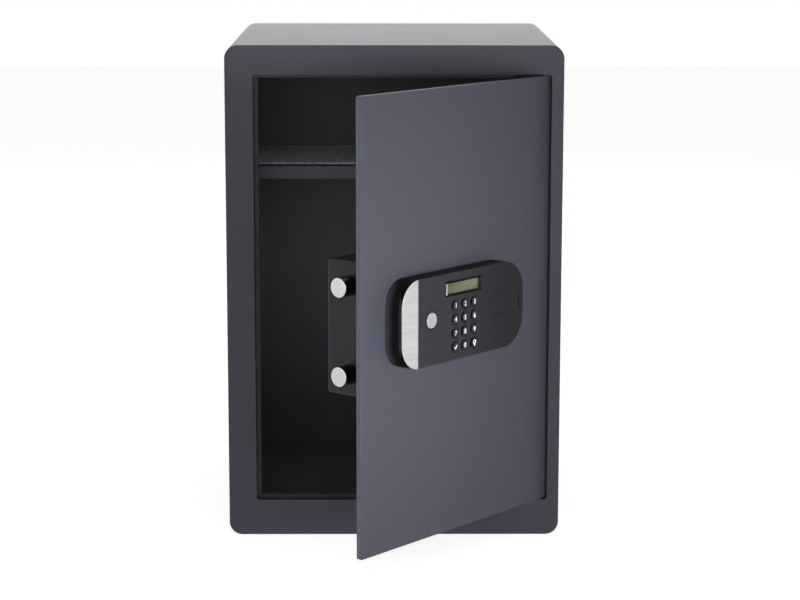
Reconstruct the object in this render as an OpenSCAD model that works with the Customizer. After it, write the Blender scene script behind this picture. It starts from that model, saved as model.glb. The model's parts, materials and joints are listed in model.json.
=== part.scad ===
// Office safe with a motor-driven lock, shown with its door open.
// Origin at the centre of the cabinet's base, front towards -Y, +Z up, millimetres.
// Everything on the door is drawn with the door shut and then swung open about the hinge pins.

/* [Cabinet] */
// Width of the cabinet
body_w = 350; // [330:1:420]
// Height of the cabinet
body_h = 520; // [510:1:600]
// Depth of the cabinet
body_d = 360; // [340:1:420]
// Sheet thickness of the wrapped body
wrap_t = 3; // [2.5:0.5:4]
// Sheet thickness of the back panel
back_t = 3; // [2.5:0.5:5]
// Plate thickness of the front frame
frame_t = 3; // [2.5:0.5:4]
// Outer radius of the four long corners
corner_r = 14; // [11:0.5:16]

/* [Door opening] */
// Frame width on the lock side
margin_lock = 29.4; // [27:0.2:34]
// Frame width on the hinge side
margin_hinge = 12.8; // [12:0.2:16]
// Frame width above the door
margin_top = 30.4; // [28:0.2:34]
// Frame width below the door
margin_bottom = 38.4; // [36:0.2:44]
// Corner radius of the opening
opening_r = 3.5; // [1:0.5:4]
// Sheet thickness of the door stop behind the frame
stop_t = 2; // [1.5:0.5:3]
// Height of the stop's lip at the lock side
stop_side = 5; // [3:0.5:6]
// Height of the stop's lip above the door's foot
stop_bottom = 5; // [3:0.5:6]
// Height of the stop's lip below the top margin
stop_top = 3.4; // [3:0.2:5]
// Air between the shut door and its stop
stop_gap = 1; // [0.6:0.1:1.5]
// Length cut out of the stop's lip at each hinge
hinge_cutout = 35.5; // [34:0.5:40]

/* [Door] */
// Thickness of the door plate
door_t = 5; // [4:0.5:8]
// Gap beside the door at the lock side
door_gap = 1.8; // [1.2:0.1:2.5]
// Gap above the door
door_gap_top = 1; // [0.8:0.1:2]
// Gap below the door, filled by the hinge washer
door_gap_bottom = 1.2; // [0.8:0.1:2]
// Corner radius of the door plate
door_r = 2.5; // [1:0.5:3]
// Angle at which the door stands open
open_angle = 50; // [0:5:95]
// Distance of the hinge pins from the door's edge
pivot_inset = 6; // [5.5:0.1:7]
// Distance of the hinge pins behind the door's face
pivot_depth = 5; // [4.8:0.1:5.6]
// Least air between the door's swinging corner and the frame
swing_air = 0.4; // [0.3:0.1:1]
// Radius of the hinge pins
pin_r = 2.5; // [2:0.1:2.8]
// Length of each hinge pin inside its frame bracket
pin_in_frame = 13; // [10:1:14]
// Length of each hinge pin inside its door block
pin_in_door = 24; // [15:1:28]
// Width of the door's hinge blocks
block_w = 13; // [12:0.5:16]
// Height of the door's hinge blocks
block_h = 30; // [29:1:40]
// Width of the washer round the lower hinge pin
washer_w = 2; // [1.5:0.25:3]
// Thickness of the door's hinge blocks
block_t = 11; // [10:0.5:14]
// Plate left in front of a hinge block
block_skin = 1.5; // [1.2:0.1:1.8]
// Reach of the frame's hinge brackets inside the door's edge
bracket_reach = 14; // [13:0.5:18]
// Height of the frame's hinge brackets
bracket_h = 15; // [14.5:0.5:18]
// Depth of the frame's hinge brackets
bracket_d = 14; // [12:0.5:20]

/* [Shelf and mats] */
// Height of the shelf's steel top above the base
shelf_z = 373; // [340:0.5:400]
// Depth of the shelf
shelf_d = 174; // [120:1:260]
// Sheet thickness of the shelf and its brackets
shelf_t = 1.5; // [1:0.5:2.5]
// Height of the shelf's front lip
lip_h = 14.7; // [10:0.1:25]
// Leg length of the shelf brackets
bracket_leg = 12; // [8:1:20]
// Distance of the shelf brackets behind the shelf's front edge
bracket_front = 12; // [4:1:30]
// Distance of the shelf brackets in front of the back panel
bracket_rear = 8; // [2:1:20]
// Thickness of the carpet mats
mat_t = 3.5; // [2:0.5:6]

/* [Fixing holes] */
// Radius of the holes for floor and wall bolts
anchor_r = 6.5; // [5:0.5:8]
// Distance between the two floor holes
floor_span = 200; // [160:5:240]
// Distance of the floor holes in front of the cabinet's middle
floor_hole_y = 60; // [40:5:100]
// Distance between the two wall holes
wall_span = 200; // [160:5:240]
// Height of the wall holes above the base
wall_z = 350; // [250:5:352]
// Radius cut out of the floor mat round each hole
mat_hole_r = 12; // [9:1:16]

/* [Lock case] */
// Distance of the lock case from the door's free edge
case_inset = 28.3; // [26:0.1:34]
// Width of the lock case
case_w = 200; // [198:1:208]
// Height of the lock case
case_h = 133.5; // [132:0.5:150]
// Depth of the lock case behind the door plate
case_d = 60; // [58:0.5:70]
// Sheet thickness of the lock case
case_t = 1.5; // [1:0.1:2]
// Corner radius of the lock case
case_r = 4; // [3:0.5:6]
// Height of the door's middle above the lock case's middle
case_drop = 5.6; // [0:0.1:8]
// Distance of the case screws from the case's edges
stud_inset = 7; // [6.5:0.1:8]
// Radius of the hexagonal studs over their corners
stud_r = 4; // [3.5:0.1:4.3]
// Radius of the case screws
case_screw_r = 1.5; // [1.25:0.25:2]

/* [Bolts] */
// Radius of the locking bolts
bolt_r = 10; // [8:0.5:11]
// Distance between the two bolts
bolt_pitch = 87.5; // [80:0.5:92]
// Distance of the bolts behind the door's face
bolt_depth = 35.5; // [33:0.5:40]
// Length of the drawn-back bolts that shows beside the case
bolt_show = 19.3; // [14:0.1:20]
// Travel of the bolts
bolt_throw = 20; // [16:1:22]
// Chamfer on each bolt's end
bolt_chamfer = 0.8; // [0.4:0.1:1.5]
// Radius of the threaded tail behind each bolt
tail_r = 4; // [3:0.5:5]
// Length of the threaded tail
tail_len = 10; // [9:0.5:12]
// Width of the nuts across their corners
nut_w = 15; // [14:0.5:17]
// Thickness of the nuts
nut_t = 5; // [4:0.5:6]
// Running clearance between each bolt and its bush
bush_air = 0.05; // [0.02:0.01:0.1]
// Wall of the bolt bushes
bush_t = 1; // [0.8:0.1:1.5]
// Length of the bolt bushes inside the case
bush_len = 6; // [4:0.5:12]
// Width of the bolt bushes' flange
bush_flange = 1.2; // [0.8:0.1:2]
// Thickness of the bolt bushes' flange
bush_flange_t = 1; // [0.6:0.1:1.5]
// Radial air round the bolts in the strike plate
strike_air = 0.8; // [0.5:0.1:1.5]
// Thickness of the strike plate
strike_t = 2; // [1.5:0.5:3]
// Distance of the strike plate from the opening's edge
strike_inset = 2.4; // [2.2:0.2:4]
// Height of the strike plate beyond each bolt's middle
strike_end = 32; // [20:1:40]
// Rim of the strike plate behind the bolt holes
strike_rim = 6; // [4:0.5:12]

/* [Bolt drive] */
// Plate thickness of the bolt carrier
carrier_t = 4; // [3:0.5:5]
// Length of the carrier beyond each bolt's middle
carrier_end = 11; // [9:0.5:12]
// Thickness of the drive bar
bar_t = 3; // [2.5:0.5:4]
// Height of the drive bar
bar_h = 14; // [13.5:0.5:17]
// Air between the door plate and the drive bar
bar_air = 6; // [5.5:0.1:7]
// Tooth module of the rack and pinion
gear_m = 0.8; // [0.7:0.1:0.9]
// Number of teeth on the pinion
gear_z = 18; // [18:1:20]
// Thickness taken off each tooth for free running
backlash = 0.14; // [0.1:0.02:0.2]
// Pressure angle of the teeth
gear_angle = 20; // [20:1:22]
// Distance of the motor from the carrier plate
motor_x = 38; // [36:1:44]
// Radius of the gearbox
gearbox_r = 12; // [11:0.5:13]
// Length of the gearbox
gearbox_len = 15; // [13:0.5:18]
// Radius of the motor's can
motor_r = 11; // [9:0.5:12]
// Length of the motor's can
motor_len = 28; // [22:0.5:30]
// Radius of the motor's rear bearing
bearing_r = 3.7; // [3:0.1:5]
// Height of the motor's rear bearing
bearing_h = 2; // [1:0.5:3]
// Radius of the pinion's shaft
shaft_r = 2; // [1.5:0.25:2.5]
// Length of the shaft inside the gearbox
shaft_in = 7; // [5:0.5:9]

/* [Electronics] */
// Radius of the battery cells
cell_r = 7.1; // [6.8:0.1:7.3]
// Length of the battery cells
cell_len = 50; // [48:0.5:52]
// Distance between the middles of the cells
cell_pitch = 15; // [14.8:0.1:15.5]
// Wall of the battery holder
holder_t = 1.5; // [1:0.1:2]
// Air round the cells in their holder
cell_air = 0.3; // [0.2:0.05:0.5]
// Distance of the battery holder from the case's hinge-side end
holder_x = 12.5; // [11.5:0.5:18]
// Distance of the battery holder from the case's foot
holder_z = 14; // [12.5:0.5:18]
// Rim of the battery cover outside its window
cover_rim = 3; // [2:0.5:4]
// Thickness of the battery cover
cover_t = 1.6; // [1.2:0.1:2.5]
// Thickness of the circuit boards
board_t = 1.6; // [1:0.2:2]
// Width of the control board
board_w = 92; // [80:1:96]
// Height of the control board
board_h = 42; // [34:1:46]
// Length of the spacers that carry the control board
spacer_len = 12; // [9:0.5:16]
// Radius of the reset button
reset_r = 3; // [2:0.25:4]
// Travel of the reset button
reset_travel = 1.2; // [0.5:0.1:2]
// Width of the flat lead from the keypad
lead_w = 8; // [6:0.5:10]
// Thickness of the flat lead
lead_t = 1.2; // [0.8:0.1:1.6]
// Radius of the door's hole for the lead
lead_hole_r = 7; // [6.5:0.5:9]
// Distance of the lead's hole below the middle of the keypad unit
lead_drop = 24; // [22:0.5:26]
// Distance of the lead's hole from the unit's middle towards the hinge side
lead_shift = 2; // [0:0.5:4]
// Width of the control board's connector
socket_w = 22; // [16:1:30]
// Height of the control board's connector
socket_h = 12; // [8:1:16]
// Depth of the control board's connector
socket_d = 4; // [3:0.5:6]

/* [Keypad unit] */
// Width of the keypad unit
pad_w = 195; // [190:1:205]
// Height of the keypad unit
pad_h = 87.6; // [86:0.2:96]
// Height of the keypad unit over the door's face
pad_d = 20; // [18:0.5:24]
// Distance of the unit's middle from the door's free edge
pad_mid_inset = 134.3; // [131:0.1:137]
// Height of the unit's middle over the door's middle
pad_rise = 1.1; // [0:0.1:4]
// Corner radius at the lock side
pad_r_lock = 26; // [22:0.5:30]
// Corner radius at the hinge side
pad_r_hinge = 31; // [26:0.5:34]
// Wall of the keypad housing
pad_wall = 2.5; // [2:0.1:3]
// Thickness of the housing's floor on the door
pad_floor = 2; // [1.5:0.1:2.5]
// Thickness of the front panel
fascia_t = 3; // [2.6:0.1:3.4]
// Width of the metal end strip
strip_w = 25.8; // [22:0.2:30]
// Thickness of the metal end strip
strip_t = 2; // [1.2:0.1:2.2]
// Distance of the metal end strip from the unit's end
strip_edge = 1.2; // [1.2:0.1:3]
// Height of the blank disc and the keyhole's cover over the unit's middle
row_rise = 1; // [0:0.5:2]
// Distance of the blank disc from the strip's edge
badge_x = 21; // [16:0.5:24]
// Radius of the blank disc
badge_r = 7.7; // [6:0.1:9]
// Thickness of the blank disc
badge_t = 1.2; // [0.8:0.1:1.6]
// Radius of the housing's screw bosses
boss_r = 4; // [3.4:0.1:4.6]
// Radius of the housing screws
pad_screw_r = 1.6; // [1.4:0.1:2]
// Distance of the housing screws from the unit's top and foot
pad_screw_edge = 14; // [13.5:0.5:16]

/* [Keys] */
// Distance between the key columns
key_pitch_x = 15; // [13:0.1:16]
// Distance between the key rows
key_pitch_z = 13.95; // [13:0.05:15]
// Distance of the middle column from the unit's middle towards the hinge side
key_x = 1.6; // [-2:0.1:5]
// Height of the top key row over the unit's middle
key_z = 10.8; // [8:0.1:12]
// Radius of the key caps
key_r = 4.9; // [4:0.1:5.2]
// Radial air round the key caps
key_air = 0.2; // [0.15:0.05:0.3]
// Height of the key caps over the front panel
key_rise = 1; // [0.6:0.1:1.6]
// Travel of the keys
key_travel = 0.9; // [0.5:0.1:1]
// Width of the ring sunk round each key
ring_w = 0.9; // [0.5:0.1:1]
// Depth of the ring sunk round each key
ring_d = 0.8; // [0.4:0.1:1.2]
// Radius of the key stems
stem_r = 2; // [1.5:0.1:2.5]
// Radius to which each cap's face is dished
dish_r = 14; // [10:1:20]
// Depth of the dish in each cap
dish_d = 0.35; // [0.2:0.05:0.4]

/* [Display] */
// Width of the display window
lcd_w = 57.6; // [50:0.2:60]
// Height of the display window
lcd_h = 15.6; // [11:0.2:15.6]
// Distance of the window's middle from the unit's middle towards the lock side
lcd_x = 0.7; // [-2:0.1:3]
// Height of the window's middle over the unit's middle
lcd_z = 28.2; // [27.5:0.1:30]
// Thickness of the clear lens
lens_t = 1; // [0.6:0.1:1.2]

/* [Emergency lock] */
// Width of the cover over the keyhole
hatch_w = 49.4; // [40:0.2:50]
// Height of the cover over the keyhole
hatch_h = 19; // [17:0.2:20]
// Distance of the cover's middle from the unit's middle towards the hinge side
hatch_x = 67.2; // [66:0.1:68]
// Thickness of the cover
hatch_t = 1.5; // [1.2:0.1:1.8]
// Ledge under the cover's rim
hatch_ledge = 1.6; // [1.2:0.1:2]
// Air round the cover
hatch_air = 0.25; // [0.2:0.05:0.4]
// Radius of the lock cylinder
cyl_r = 9; // [8:0.25:10]
// Radius of the turning plug
plug_r = 6; // [5:0.25:6.5]
// Running clearance round the plug
plug_air = 0.05; // [0.02:0.01:0.1]
// Radius swept by the cam's tip
cam_r = 12; // [11.5:0.5:13]
// Width of the cam
cam_w = 6; // [5:0.5:7]
// Width of the keyway
keyway_w = 1.2; // [1:0.1:2]
// Height of the keyway
keyway_h = 8; // [6:0.5:9]
// Depth of the keyway
keyway_d = 14; // [10:1:16]

/* [Hidden] */
$fn = 64;
tiny = 0.01;
through = 1;

// Cabinet limits
front_y = -body_d / 2;
rear_y = body_d / 2;
wall_x = body_w / 2 - wrap_t;
inner_r = corner_r - wrap_t;
frame_back_y = front_y + frame_t;
panel_y = rear_y - back_t;

// Opening and door limits
open_l = -body_w / 2 + margin_lock;
open_r = body_w / 2 - margin_hinge;
open_b = margin_bottom;
open_t = body_h - margin_top;
swing_r = sqrt(pow(pivot_inset, 2) + pow(pivot_depth, 2));
door_gap_hinge = swing_r - pivot_inset + swing_air;
door_l = open_l + door_gap;
door_rt = open_r - door_gap_hinge;
door_b = open_b + door_gap_bottom;
door_top = open_t - door_gap_top;
door_back_y = front_y + door_t;
door_mid_z = (door_b + door_top) / 2;
pivot_x = door_rt - pivot_inset;
pivot_y = front_y + pivot_depth;

// Door stop
stop_y0 = door_back_y + stop_gap;
stop_y1 = stop_y0 + stop_t;
washer_air = 0.1;
washer_t = door_gap_bottom - washer_air;
pin_air = 0.05;
pin_end_air = 0.5;
block_y0 = front_y + block_skin;
bracket_x0 = door_rt - bracket_reach;

// Shelf and mats
shelf_air = 0.5;
mat_inset = 1;
mat_air = 0.3;

// Lock case
case_l = door_l + case_inset;
case_rt = case_l + case_w;
case_mid_z = door_mid_z - case_drop;
case_b = case_mid_z - case_h / 2;
case_top = case_mid_z + case_h / 2;
case_back_y = door_back_y + case_d;
case_in_y = case_back_y - case_t;
stud_places = [for (x = [case_l + stud_inset, case_rt - stud_inset])
    for (z = [case_b + stud_inset, case_top - stud_inset]) [x, z]];
screw_air = 0.2;
head_t = 2;
case_head_r = 2 * case_screw_r;
case_screw_len = 9;

// Bolts and their carrier
bolt_y = front_y + bolt_depth;
bolt_zs = [case_mid_z - bolt_pitch / 2, case_mid_z + bolt_pitch / 2];
bolt_tip_x = case_l - bolt_show;
carrier_air = 1.7;
bolt_root_x = case_l + bush_len + bolt_throw + carrier_air;
strike_x1 = open_l - strike_inset;
strike_x0 = strike_x1 - strike_t;
strike_y1 = bolt_y + bolt_r + strike_air + strike_rim;
bush_r = bolt_r + bush_air + bush_t;

// Keypad unit
pad_mid_x = door_l + pad_mid_inset;
pad_mid_z = door_mid_z + pad_rise;
pad_l = pad_mid_x - pad_w / 2;
pad_rt = pad_mid_x + pad_w / 2;
pad_b = pad_mid_z - pad_h / 2;
pad_top = pad_mid_z + pad_h / 2;
pad_front_y = front_y - pad_d;
fascia_back_y = pad_front_y + fascia_t;
pad_floor_y = front_y - pad_floor;
strip_rt = pad_l + strip_w;
strip_gap = 0.4;
strip_proud = 0.2;
badge_mid_x = strip_rt + badge_x;
badge_proud = 0.4;
badge_air = 0.6;
badge_seat_y = pad_front_y + badge_t - badge_proud;
row_z = pad_mid_z + row_rise;

// Display, keys and keypad board
lcd_mid_x = pad_mid_x - lcd_x;
lcd_mid_z = pad_mid_z + lcd_z;
lens_rim = 0.8;
module_rim = 0.4;
key_mid_x = pad_mid_x + key_x;
key_top_z = pad_mid_z + key_z;
flange_air = 0.1;
flange_t = 0.9;
flange_w = 0.9;
flange_r = key_r + key_air + flange_w;
key_flange_y = fascia_back_y + flange_air + flange_t;
key_end_air = 0.2;
mat_y0 = key_flange_y + key_travel + key_end_air;
mat_base = 3;
mat_bore_air = 0.3;
mat_top_air = 0.5;
keypad_board_y = mat_y0 + mat_base;
stem_air = 0.3;
stem_tip_y = keypad_board_y - key_travel - stem_air;
keys_rim = 4;
board_foot = 2;
board_head = 1;
keypad_board_x0 = min(lcd_mid_x - lcd_w / 2, key_mid_x - key_pitch_x - flange_r) - keys_rim;
keypad_board_x1 = max(lcd_mid_x + lcd_w / 2, key_mid_x + key_pitch_x + flange_r) + keys_rim;
keypad_board_z0 = key_top_z - 3 * key_pitch_z - flange_r - board_foot;
keypad_board_z1 = lcd_mid_z + lcd_h / 2 + lens_rim + board_head;
post_r = 2.5;
post_inset = 3;

// Housing screws, clear of the keys, the display and the lock cylinder
screw_dz = pad_h / 2 - pad_screw_edge;
screw_in = 7;
screw_out = 4;
screw_x_lock = strip_rt + screw_in;
screw_x_hinge = pad_mid_x + hatch_x - screw_out;
screw_places = [for (x = [screw_x_lock, screw_x_hinge]) for (s = [-1, 1]) [x, pad_mid_z + s * screw_dz]];
pad_head_r = 2 * pad_screw_r;
pad_screw_air = 0.5;
pad_screw_end = 3;
boss_front = 2;

// Emergency lock
hatch_mid_x = pad_mid_x + hatch_x;
hatch_mid_z = row_z;
hatch_seat_air = 0.1;
hatch_seat_y = pad_front_y + hatch_t + hatch_seat_air;
hatch_r = 1;
hatch_wall = 2;
hatch_end = 0.4;
nail_w = 1.3;
nail_h = 10;
nail_d = 0.8;
nail_inset = 0.9;
cyl_x = hatch_mid_x;
cyl_z = hatch_mid_z;
cyl_flange_r = cyl_r + 1.5;
cyl_flange_t = 2;
cyl_sink = 1.6;
cyl_front_y = fascia_back_y + cyl_sink;
cyl_air = 0.2;
cam_hub_r = 4.5;
cam_t = 2.5;
cyl_nut_wall = 4;
cyl_nut_t = 3.5;

// Drive bar, rack and pinion
bar_rise = 5;
bar_tail = 10;
carrier_rim = 1.5;
gear_overlap = 0.5;
gearbox_air = 1;
shaft_end_air = 0.5;
cam_air = 0.5;
cam_top_air = 1.5;
cam_step = 1;
cradle_wall = 2;
cradle_foot = 5;
cradle_drop = 2;
bar_y0 = door_back_y + bar_air;
bar_y1 = bar_y0 + bar_t;
bar_z0 = cyl_z + bar_rise;
bar_z1 = bar_z0 + bar_h;
carrier_x0 = bolt_root_x;
carrier_x1 = carrier_x0 + carrier_t;
carrier_y1 = bolt_y + bolt_r + carrier_rim;
bar_x1 = cyl_x + cam_r + bar_tail;
gear_r = gear_m * gear_z / 2;
base_r = gear_r * cos(gear_angle);
pinion_x = carrier_x1 + motor_x;
pinion_z = bar_z0 + gear_m - gear_r;
tooth_pitch = PI * gear_m;
gear_y0 = bar_y0 - gear_overlap;
gear_y1 = bar_y1 + gear_overlap;
gearbox_y0 = gear_y1 + gearbox_air;
gearbox_y1 = gearbox_y0 + gearbox_len;
notch_half = cam_r + cam_air;
notch_top = cyl_z + cam_r + cam_top_air;
cyl_end_y = bar_y0 - cam_step;

// Battery holder and control board
cells = 4;
cell_tip_r = 2.4;
cell_tip_h = 1;
cell_back_air = 0.5;
cover_r = 2;
cover_plug_air = 0.3;
board_drop = 8;
spacer_inset = 4;
socket_x = 12;
socket_z = 14;
reset_rise = 18.9;
reset_rim = 1.2;
reset_show = 1.5;
reset_gap = 0.2;
lead_slack = 8;
lead_rise = 6;
holder_in_w = (cells - 1) * cell_pitch + 2 * (cell_r + cell_air);
holder_w = holder_in_w + 2 * holder_t;
holder_in_h = cell_len + 2 * cell_air;
holder_h = holder_in_h + 2 * holder_t;
holder_rt = case_rt - holder_x;
holder_l = holder_rt - holder_w;
holder_b = case_b + holder_z;
cell_y = case_in_y - cell_back_air - cell_r;
holder_y0 = cell_y - cell_r - cell_air - holder_t;
seat_air = 0.2;
board_rt = case_rt - holder_x;
board_l = board_rt - board_w;
board_top = case_top - board_drop;
board_b = board_top - board_h;
board_y1 = case_in_y - spacer_len;
reset_x = board_l + board_w / 2;
reset_z = board_b + reset_rise;
lead_x = pad_mid_x + lead_shift;
lead_z = pad_mid_z - lead_drop;
lead_turn_y = board_y1 - board_t - lead_slack;

// Shapes in the plane of the door: the first axis runs along X, the second along Z
module rounded(x0, x1, z0, z1, r) {
    translate([x0 + r, z0]) square([x1 - x0 - 2 * r, z1 - z0]);
    translate([x0, z0 + r]) square([x1 - x0, z1 - z0 - 2 * r]);
    for (x = [x0 + r, x1 - r])
        for (z = [z0 + r, z1 - r])
            translate([x, z]) circle(r);
}

module block_shape(x0, x1, z0, z1) {
    translate([x0, z0]) square([x1 - x0, z1 - z0]);
}

// Outline of the keypad unit, drawn in by `inset` all round
module pad_shape(inset = 0) {
    x0 = pad_l + inset;
    x1 = pad_rt - inset;
    z0 = pad_b + inset;
    z1 = pad_top - inset;
    rl = pad_r_lock - inset;
    rh = pad_r_hinge - inset;
    block_shape(x0 + rl, x1 - rh, z0, z1);
    block_shape(x0, x0 + rl + tiny, z0 + rl, z1 - rl);
    block_shape(x1 - rh - tiny, x1, z0 + rh, z1 - rh);
    for (z = [z0 + rl, z1 - rl]) translate([x0 + rl, z]) circle(rl);
    for (z = [z0 + rh, z1 - rh]) translate([x1 - rh, z]) circle(rh);
}

// Gives a shape in the door's plane its thickness, from y0 back to y1
module slab(y0, y1) {
    translate([0, y1, 0]) rotate([90, 0, 0]) linear_extrude(y1 - y0) children();
}

module box(x0, x1, y0, y1, z0, z1) {
    translate([x0, y0, z0]) cube([x1 - x0, y1 - y0, z1 - z0]);
}

module rod_x(x0, x1, y, z, r) {
    translate([x0, y, z]) rotate([0, 90, 0]) cylinder(r = r, h = x1 - x0);
}

module rod_y(x, y0, y1, z, r) {
    translate([x, y0, z]) rotate([-90, 0, 0]) cylinder(r = r, h = y1 - y0);
}

module rod_z(x, y, z0, z1, r) {
    translate([x, y, z0]) cylinder(r = r, h = z1 - z0);
}

// Swings what is drawn on the shut door to its open place
module on_door() {
    translate([pivot_x, pivot_y, 0])
        rotate([0, 0, open_angle])
            translate([-pivot_x, -pivot_y, 0])
                children();
}

// Cabinet
module body_outline() {
    rounded(-body_w / 2, body_w / 2, 0, body_h, corner_r);
}

module inner_outline() {
    rounded(-wall_x, wall_x, wrap_t, body_h - wrap_t, inner_r);
}

module floor_holes(r, z0, z1) {
    for (x = [-floor_span / 2, floor_span / 2]) rod_z(x, -floor_hole_y, z0, z1, r);
}

module body_shell() {
    color("#45454d")
    difference() {
        slab(frame_back_y, rear_y) body_outline();
        slab(frame_back_y - through, rear_y + through) inner_outline();
        floor_holes(anchor_r, -through, wrap_t + through);
    }
}

module back_panel() {
    color("#2b2b2e")
    difference() {
        slab(panel_y, rear_y) inner_outline();
        for (x = [-wall_span / 2, wall_span / 2])
            rod_y(x, panel_y - through, rear_y + through, wall_z, anchor_r);
    }
}

// The two hinge pins, or the holes that hold them, longer in the door by end_air
module pins(r, end_air = 0) {
    rod_z(pivot_x, pivot_y, open_t - pin_in_door - end_air, open_t + pin_in_frame, r);
    rod_z(pivot_x, pivot_y, open_b - pin_in_frame, open_b + pin_in_door + end_air, r);
}

module front_frame() {
    color("#45454d")
    difference() {
        slab(front_y, frame_back_y) body_outline();
        slab(front_y - through, frame_back_y + through)
            rounded(open_l, open_r, open_b, open_t, opening_r);
        pins(pin_r);
    }
}

module bracket_box(z0, z1) {
    box(bracket_x0, wall_x, frame_back_y, frame_back_y + bracket_d, z0, z1);
}

module hinge_brackets() {
    color("#3a3a40")
    difference() {
        union() {
            bracket_box(open_t, open_t + bracket_h);
            bracket_box(open_b - bracket_h, open_b);
        }
        pins(pin_r);
    }
}

module hinge_pins() {
    color("#303034") pins(pin_r);
}

module hinge_washer() {
    color("#26262a")
    difference() {
        rod_z(pivot_x, pivot_y, open_b, open_b + washer_t, pin_r + washer_w);
        rod_z(pivot_x, pivot_y, open_b - through, door_b + through, pin_r);
    }
}

// Folded frame behind the opening: a wall round it and a lip that the door shuts against
module door_stop() {
    color("#38383d")
    difference() {
        slab(frame_back_y, stop_y1)
            block_shape(open_l - stop_t, open_r + stop_t, open_b - stop_t, open_t + stop_t);
        slab(frame_back_y - through, stop_y0)
            rounded(open_l, open_r, open_b, open_t, opening_r);
        slab(stop_y0 - through, stop_y1 + through)
            block_shape(open_l + stop_side, open_r, open_b + stop_bottom, open_t - stop_top);
        box(open_r - hinge_cutout, open_r, frame_back_y - through, stop_y1 + through, open_b, open_t);
        box(bracket_x0, open_r + 2 * stop_t, frame_back_y - through, stop_y1 + through,
            open_t, open_t + 2 * stop_t);
        box(bracket_x0, open_r + 2 * stop_t, frame_back_y - through, stop_y1 + through,
            open_b - 2 * stop_t, open_b);
    }
}

module strike_plate() {
    z0 = bolt_zs[0] - strike_end;
    z1 = bolt_zs[1] + strike_end;
    color("#3a3a40")
    difference() {
        union() {
            box(-wall_x, strike_x1, frame_back_y, frame_back_y + strike_t, z0, z1);
            box(strike_x0, strike_x1, frame_back_y, strike_y1, z0, z1);
        }
        for (z = bolt_zs)
            rod_x(strike_x0 - through, strike_x1 + through, bolt_y, z, bolt_r + strike_air);
    }
}

// Shelf, its brackets and the mats
module shelf() {
    x = wall_x - shelf_air;
    color("#3c3a40") {
        box(-x, x, panel_y - shelf_d, panel_y, shelf_z - shelf_t, shelf_z);
        box(-x, x, panel_y - shelf_d, panel_y - shelf_d + shelf_t, shelf_z - lip_h, shelf_z);
    }
}

module shelf_brackets() {
    y0 = panel_y - shelf_d + bracket_front;
    y1 = panel_y - bracket_rear;
    z1 = shelf_z - shelf_t;
    color("#3c3a40")
    for (s = [0, 1])
        mirror([s, 0, 0]) {
            box(wall_x - bracket_leg, wall_x, y0, y1, z1 - shelf_t, z1);
            box(wall_x - shelf_t, wall_x, y0, y1, z1 - bracket_leg, z1);
        }
}

module shelf_mat() {
    x = wall_x - shelf_air - mat_inset;
    color("#2e2e31")
    box(-x, x, panel_y - shelf_d + mat_inset, panel_y - mat_inset, shelf_z, shelf_z + mat_t);
}

module floor_mat() {
    color("#1d1d1f")
    difference() {
        intersection() {
            slab(stop_y1 + mat_inset, panel_y - mat_inset)
                rounded(-wall_x + mat_air, wall_x - mat_air, wrap_t, body_h - wrap_t, inner_r);
            box(-body_w, body_w, front_y, rear_y, wrap_t, wrap_t + mat_t);
        }
        floor_holes(mat_hole_r, 0, wrap_t + mat_t + through);
    }
}

// Door plate and what is fixed to it
module door_plate() {
    color("#5b5b68")
    on_door()
    difference() {
        slab(front_y, door_back_y) rounded(door_l, door_rt, door_b, door_top, door_r);
        for (z = [door_b - through, door_top - block_h])
            box(door_rt - block_w, door_rt + through, block_y0, door_back_y + through,
                z, z + block_h + through);
        for (p = screw_places)
            rod_y(p[0], front_y - through, door_back_y + through, p[1], pad_screw_r + pad_screw_air);
        rod_y(cyl_x, front_y - through, door_back_y + through, cyl_z, cyl_r + cyl_air);
        rod_y(lead_x, front_y - through, door_back_y + through, lead_z, lead_hole_r);
    }
}

module hinge_blocks() {
    color("#4a4a52")
    on_door()
    difference() {
        for (z = [door_b, door_top - block_h])
            box(door_rt - block_w, door_rt, block_y0, block_y0 + block_t, z, z + block_h);
        pins(pin_r + pin_air, pin_end_air);
    }
}

module lock_case() {
    color("#35343a")
    on_door()
    difference() {
        slab(door_back_y, case_back_y) rounded(case_l, case_rt, case_b, case_top, case_r);
        slab(door_back_y - through, case_in_y)
            rounded(case_l + case_t, case_rt - case_t, case_b + case_t, case_top - case_t, case_r - case_t);
        for (z = bolt_zs)
            rod_x(case_l - through, case_l + case_t + through, bolt_y, z, bush_r);
        for (p = stud_places)
            rod_y(p[0], case_in_y - through, case_back_y + through, p[1], case_screw_r + screw_air);
        slab(case_in_y - through, case_back_y + through)
            block_shape(holder_l + cover_rim, holder_rt - cover_rim,
                holder_b + cover_rim, holder_b + holder_h - cover_rim);
        rod_y(reset_x, case_in_y - through, case_back_y + through, reset_z, reset_r + seat_air);
    }
}

module case_studs() {
    color("silver")
    on_door()
    difference() {
        for (p = stud_places)
            translate([p[0], door_back_y, p[1]]) rotate([-90, 0, 0])
                cylinder(r = stud_r, h = case_in_y - door_back_y, $fn = 6);
        for (p = stud_places)
            rod_y(p[0], case_back_y - case_screw_len, case_back_y, p[1], case_screw_r);
    }
}

// Round-headed screws with a cross recess, heads towards the back
module screws(places, seat_y, len, r, head_r) {
    for (p = places)
        difference() {
            union() {
                rod_y(p[0], seat_y - len, seat_y, p[1], r);
                rod_y(p[0], seat_y, seat_y + head_t, p[1], head_r);
            }
            for (a = [0, 90])
                translate([p[0], seat_y + head_t, p[1]]) rotate([0, a, 0])
                    cube([1.3 * head_r, 2, 0.3 * head_r], center = true);
        }
}

module case_screws() {
    color("#55555c") on_door() screws(stud_places, case_back_y, case_screw_len, case_screw_r, case_head_r);
}

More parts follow.
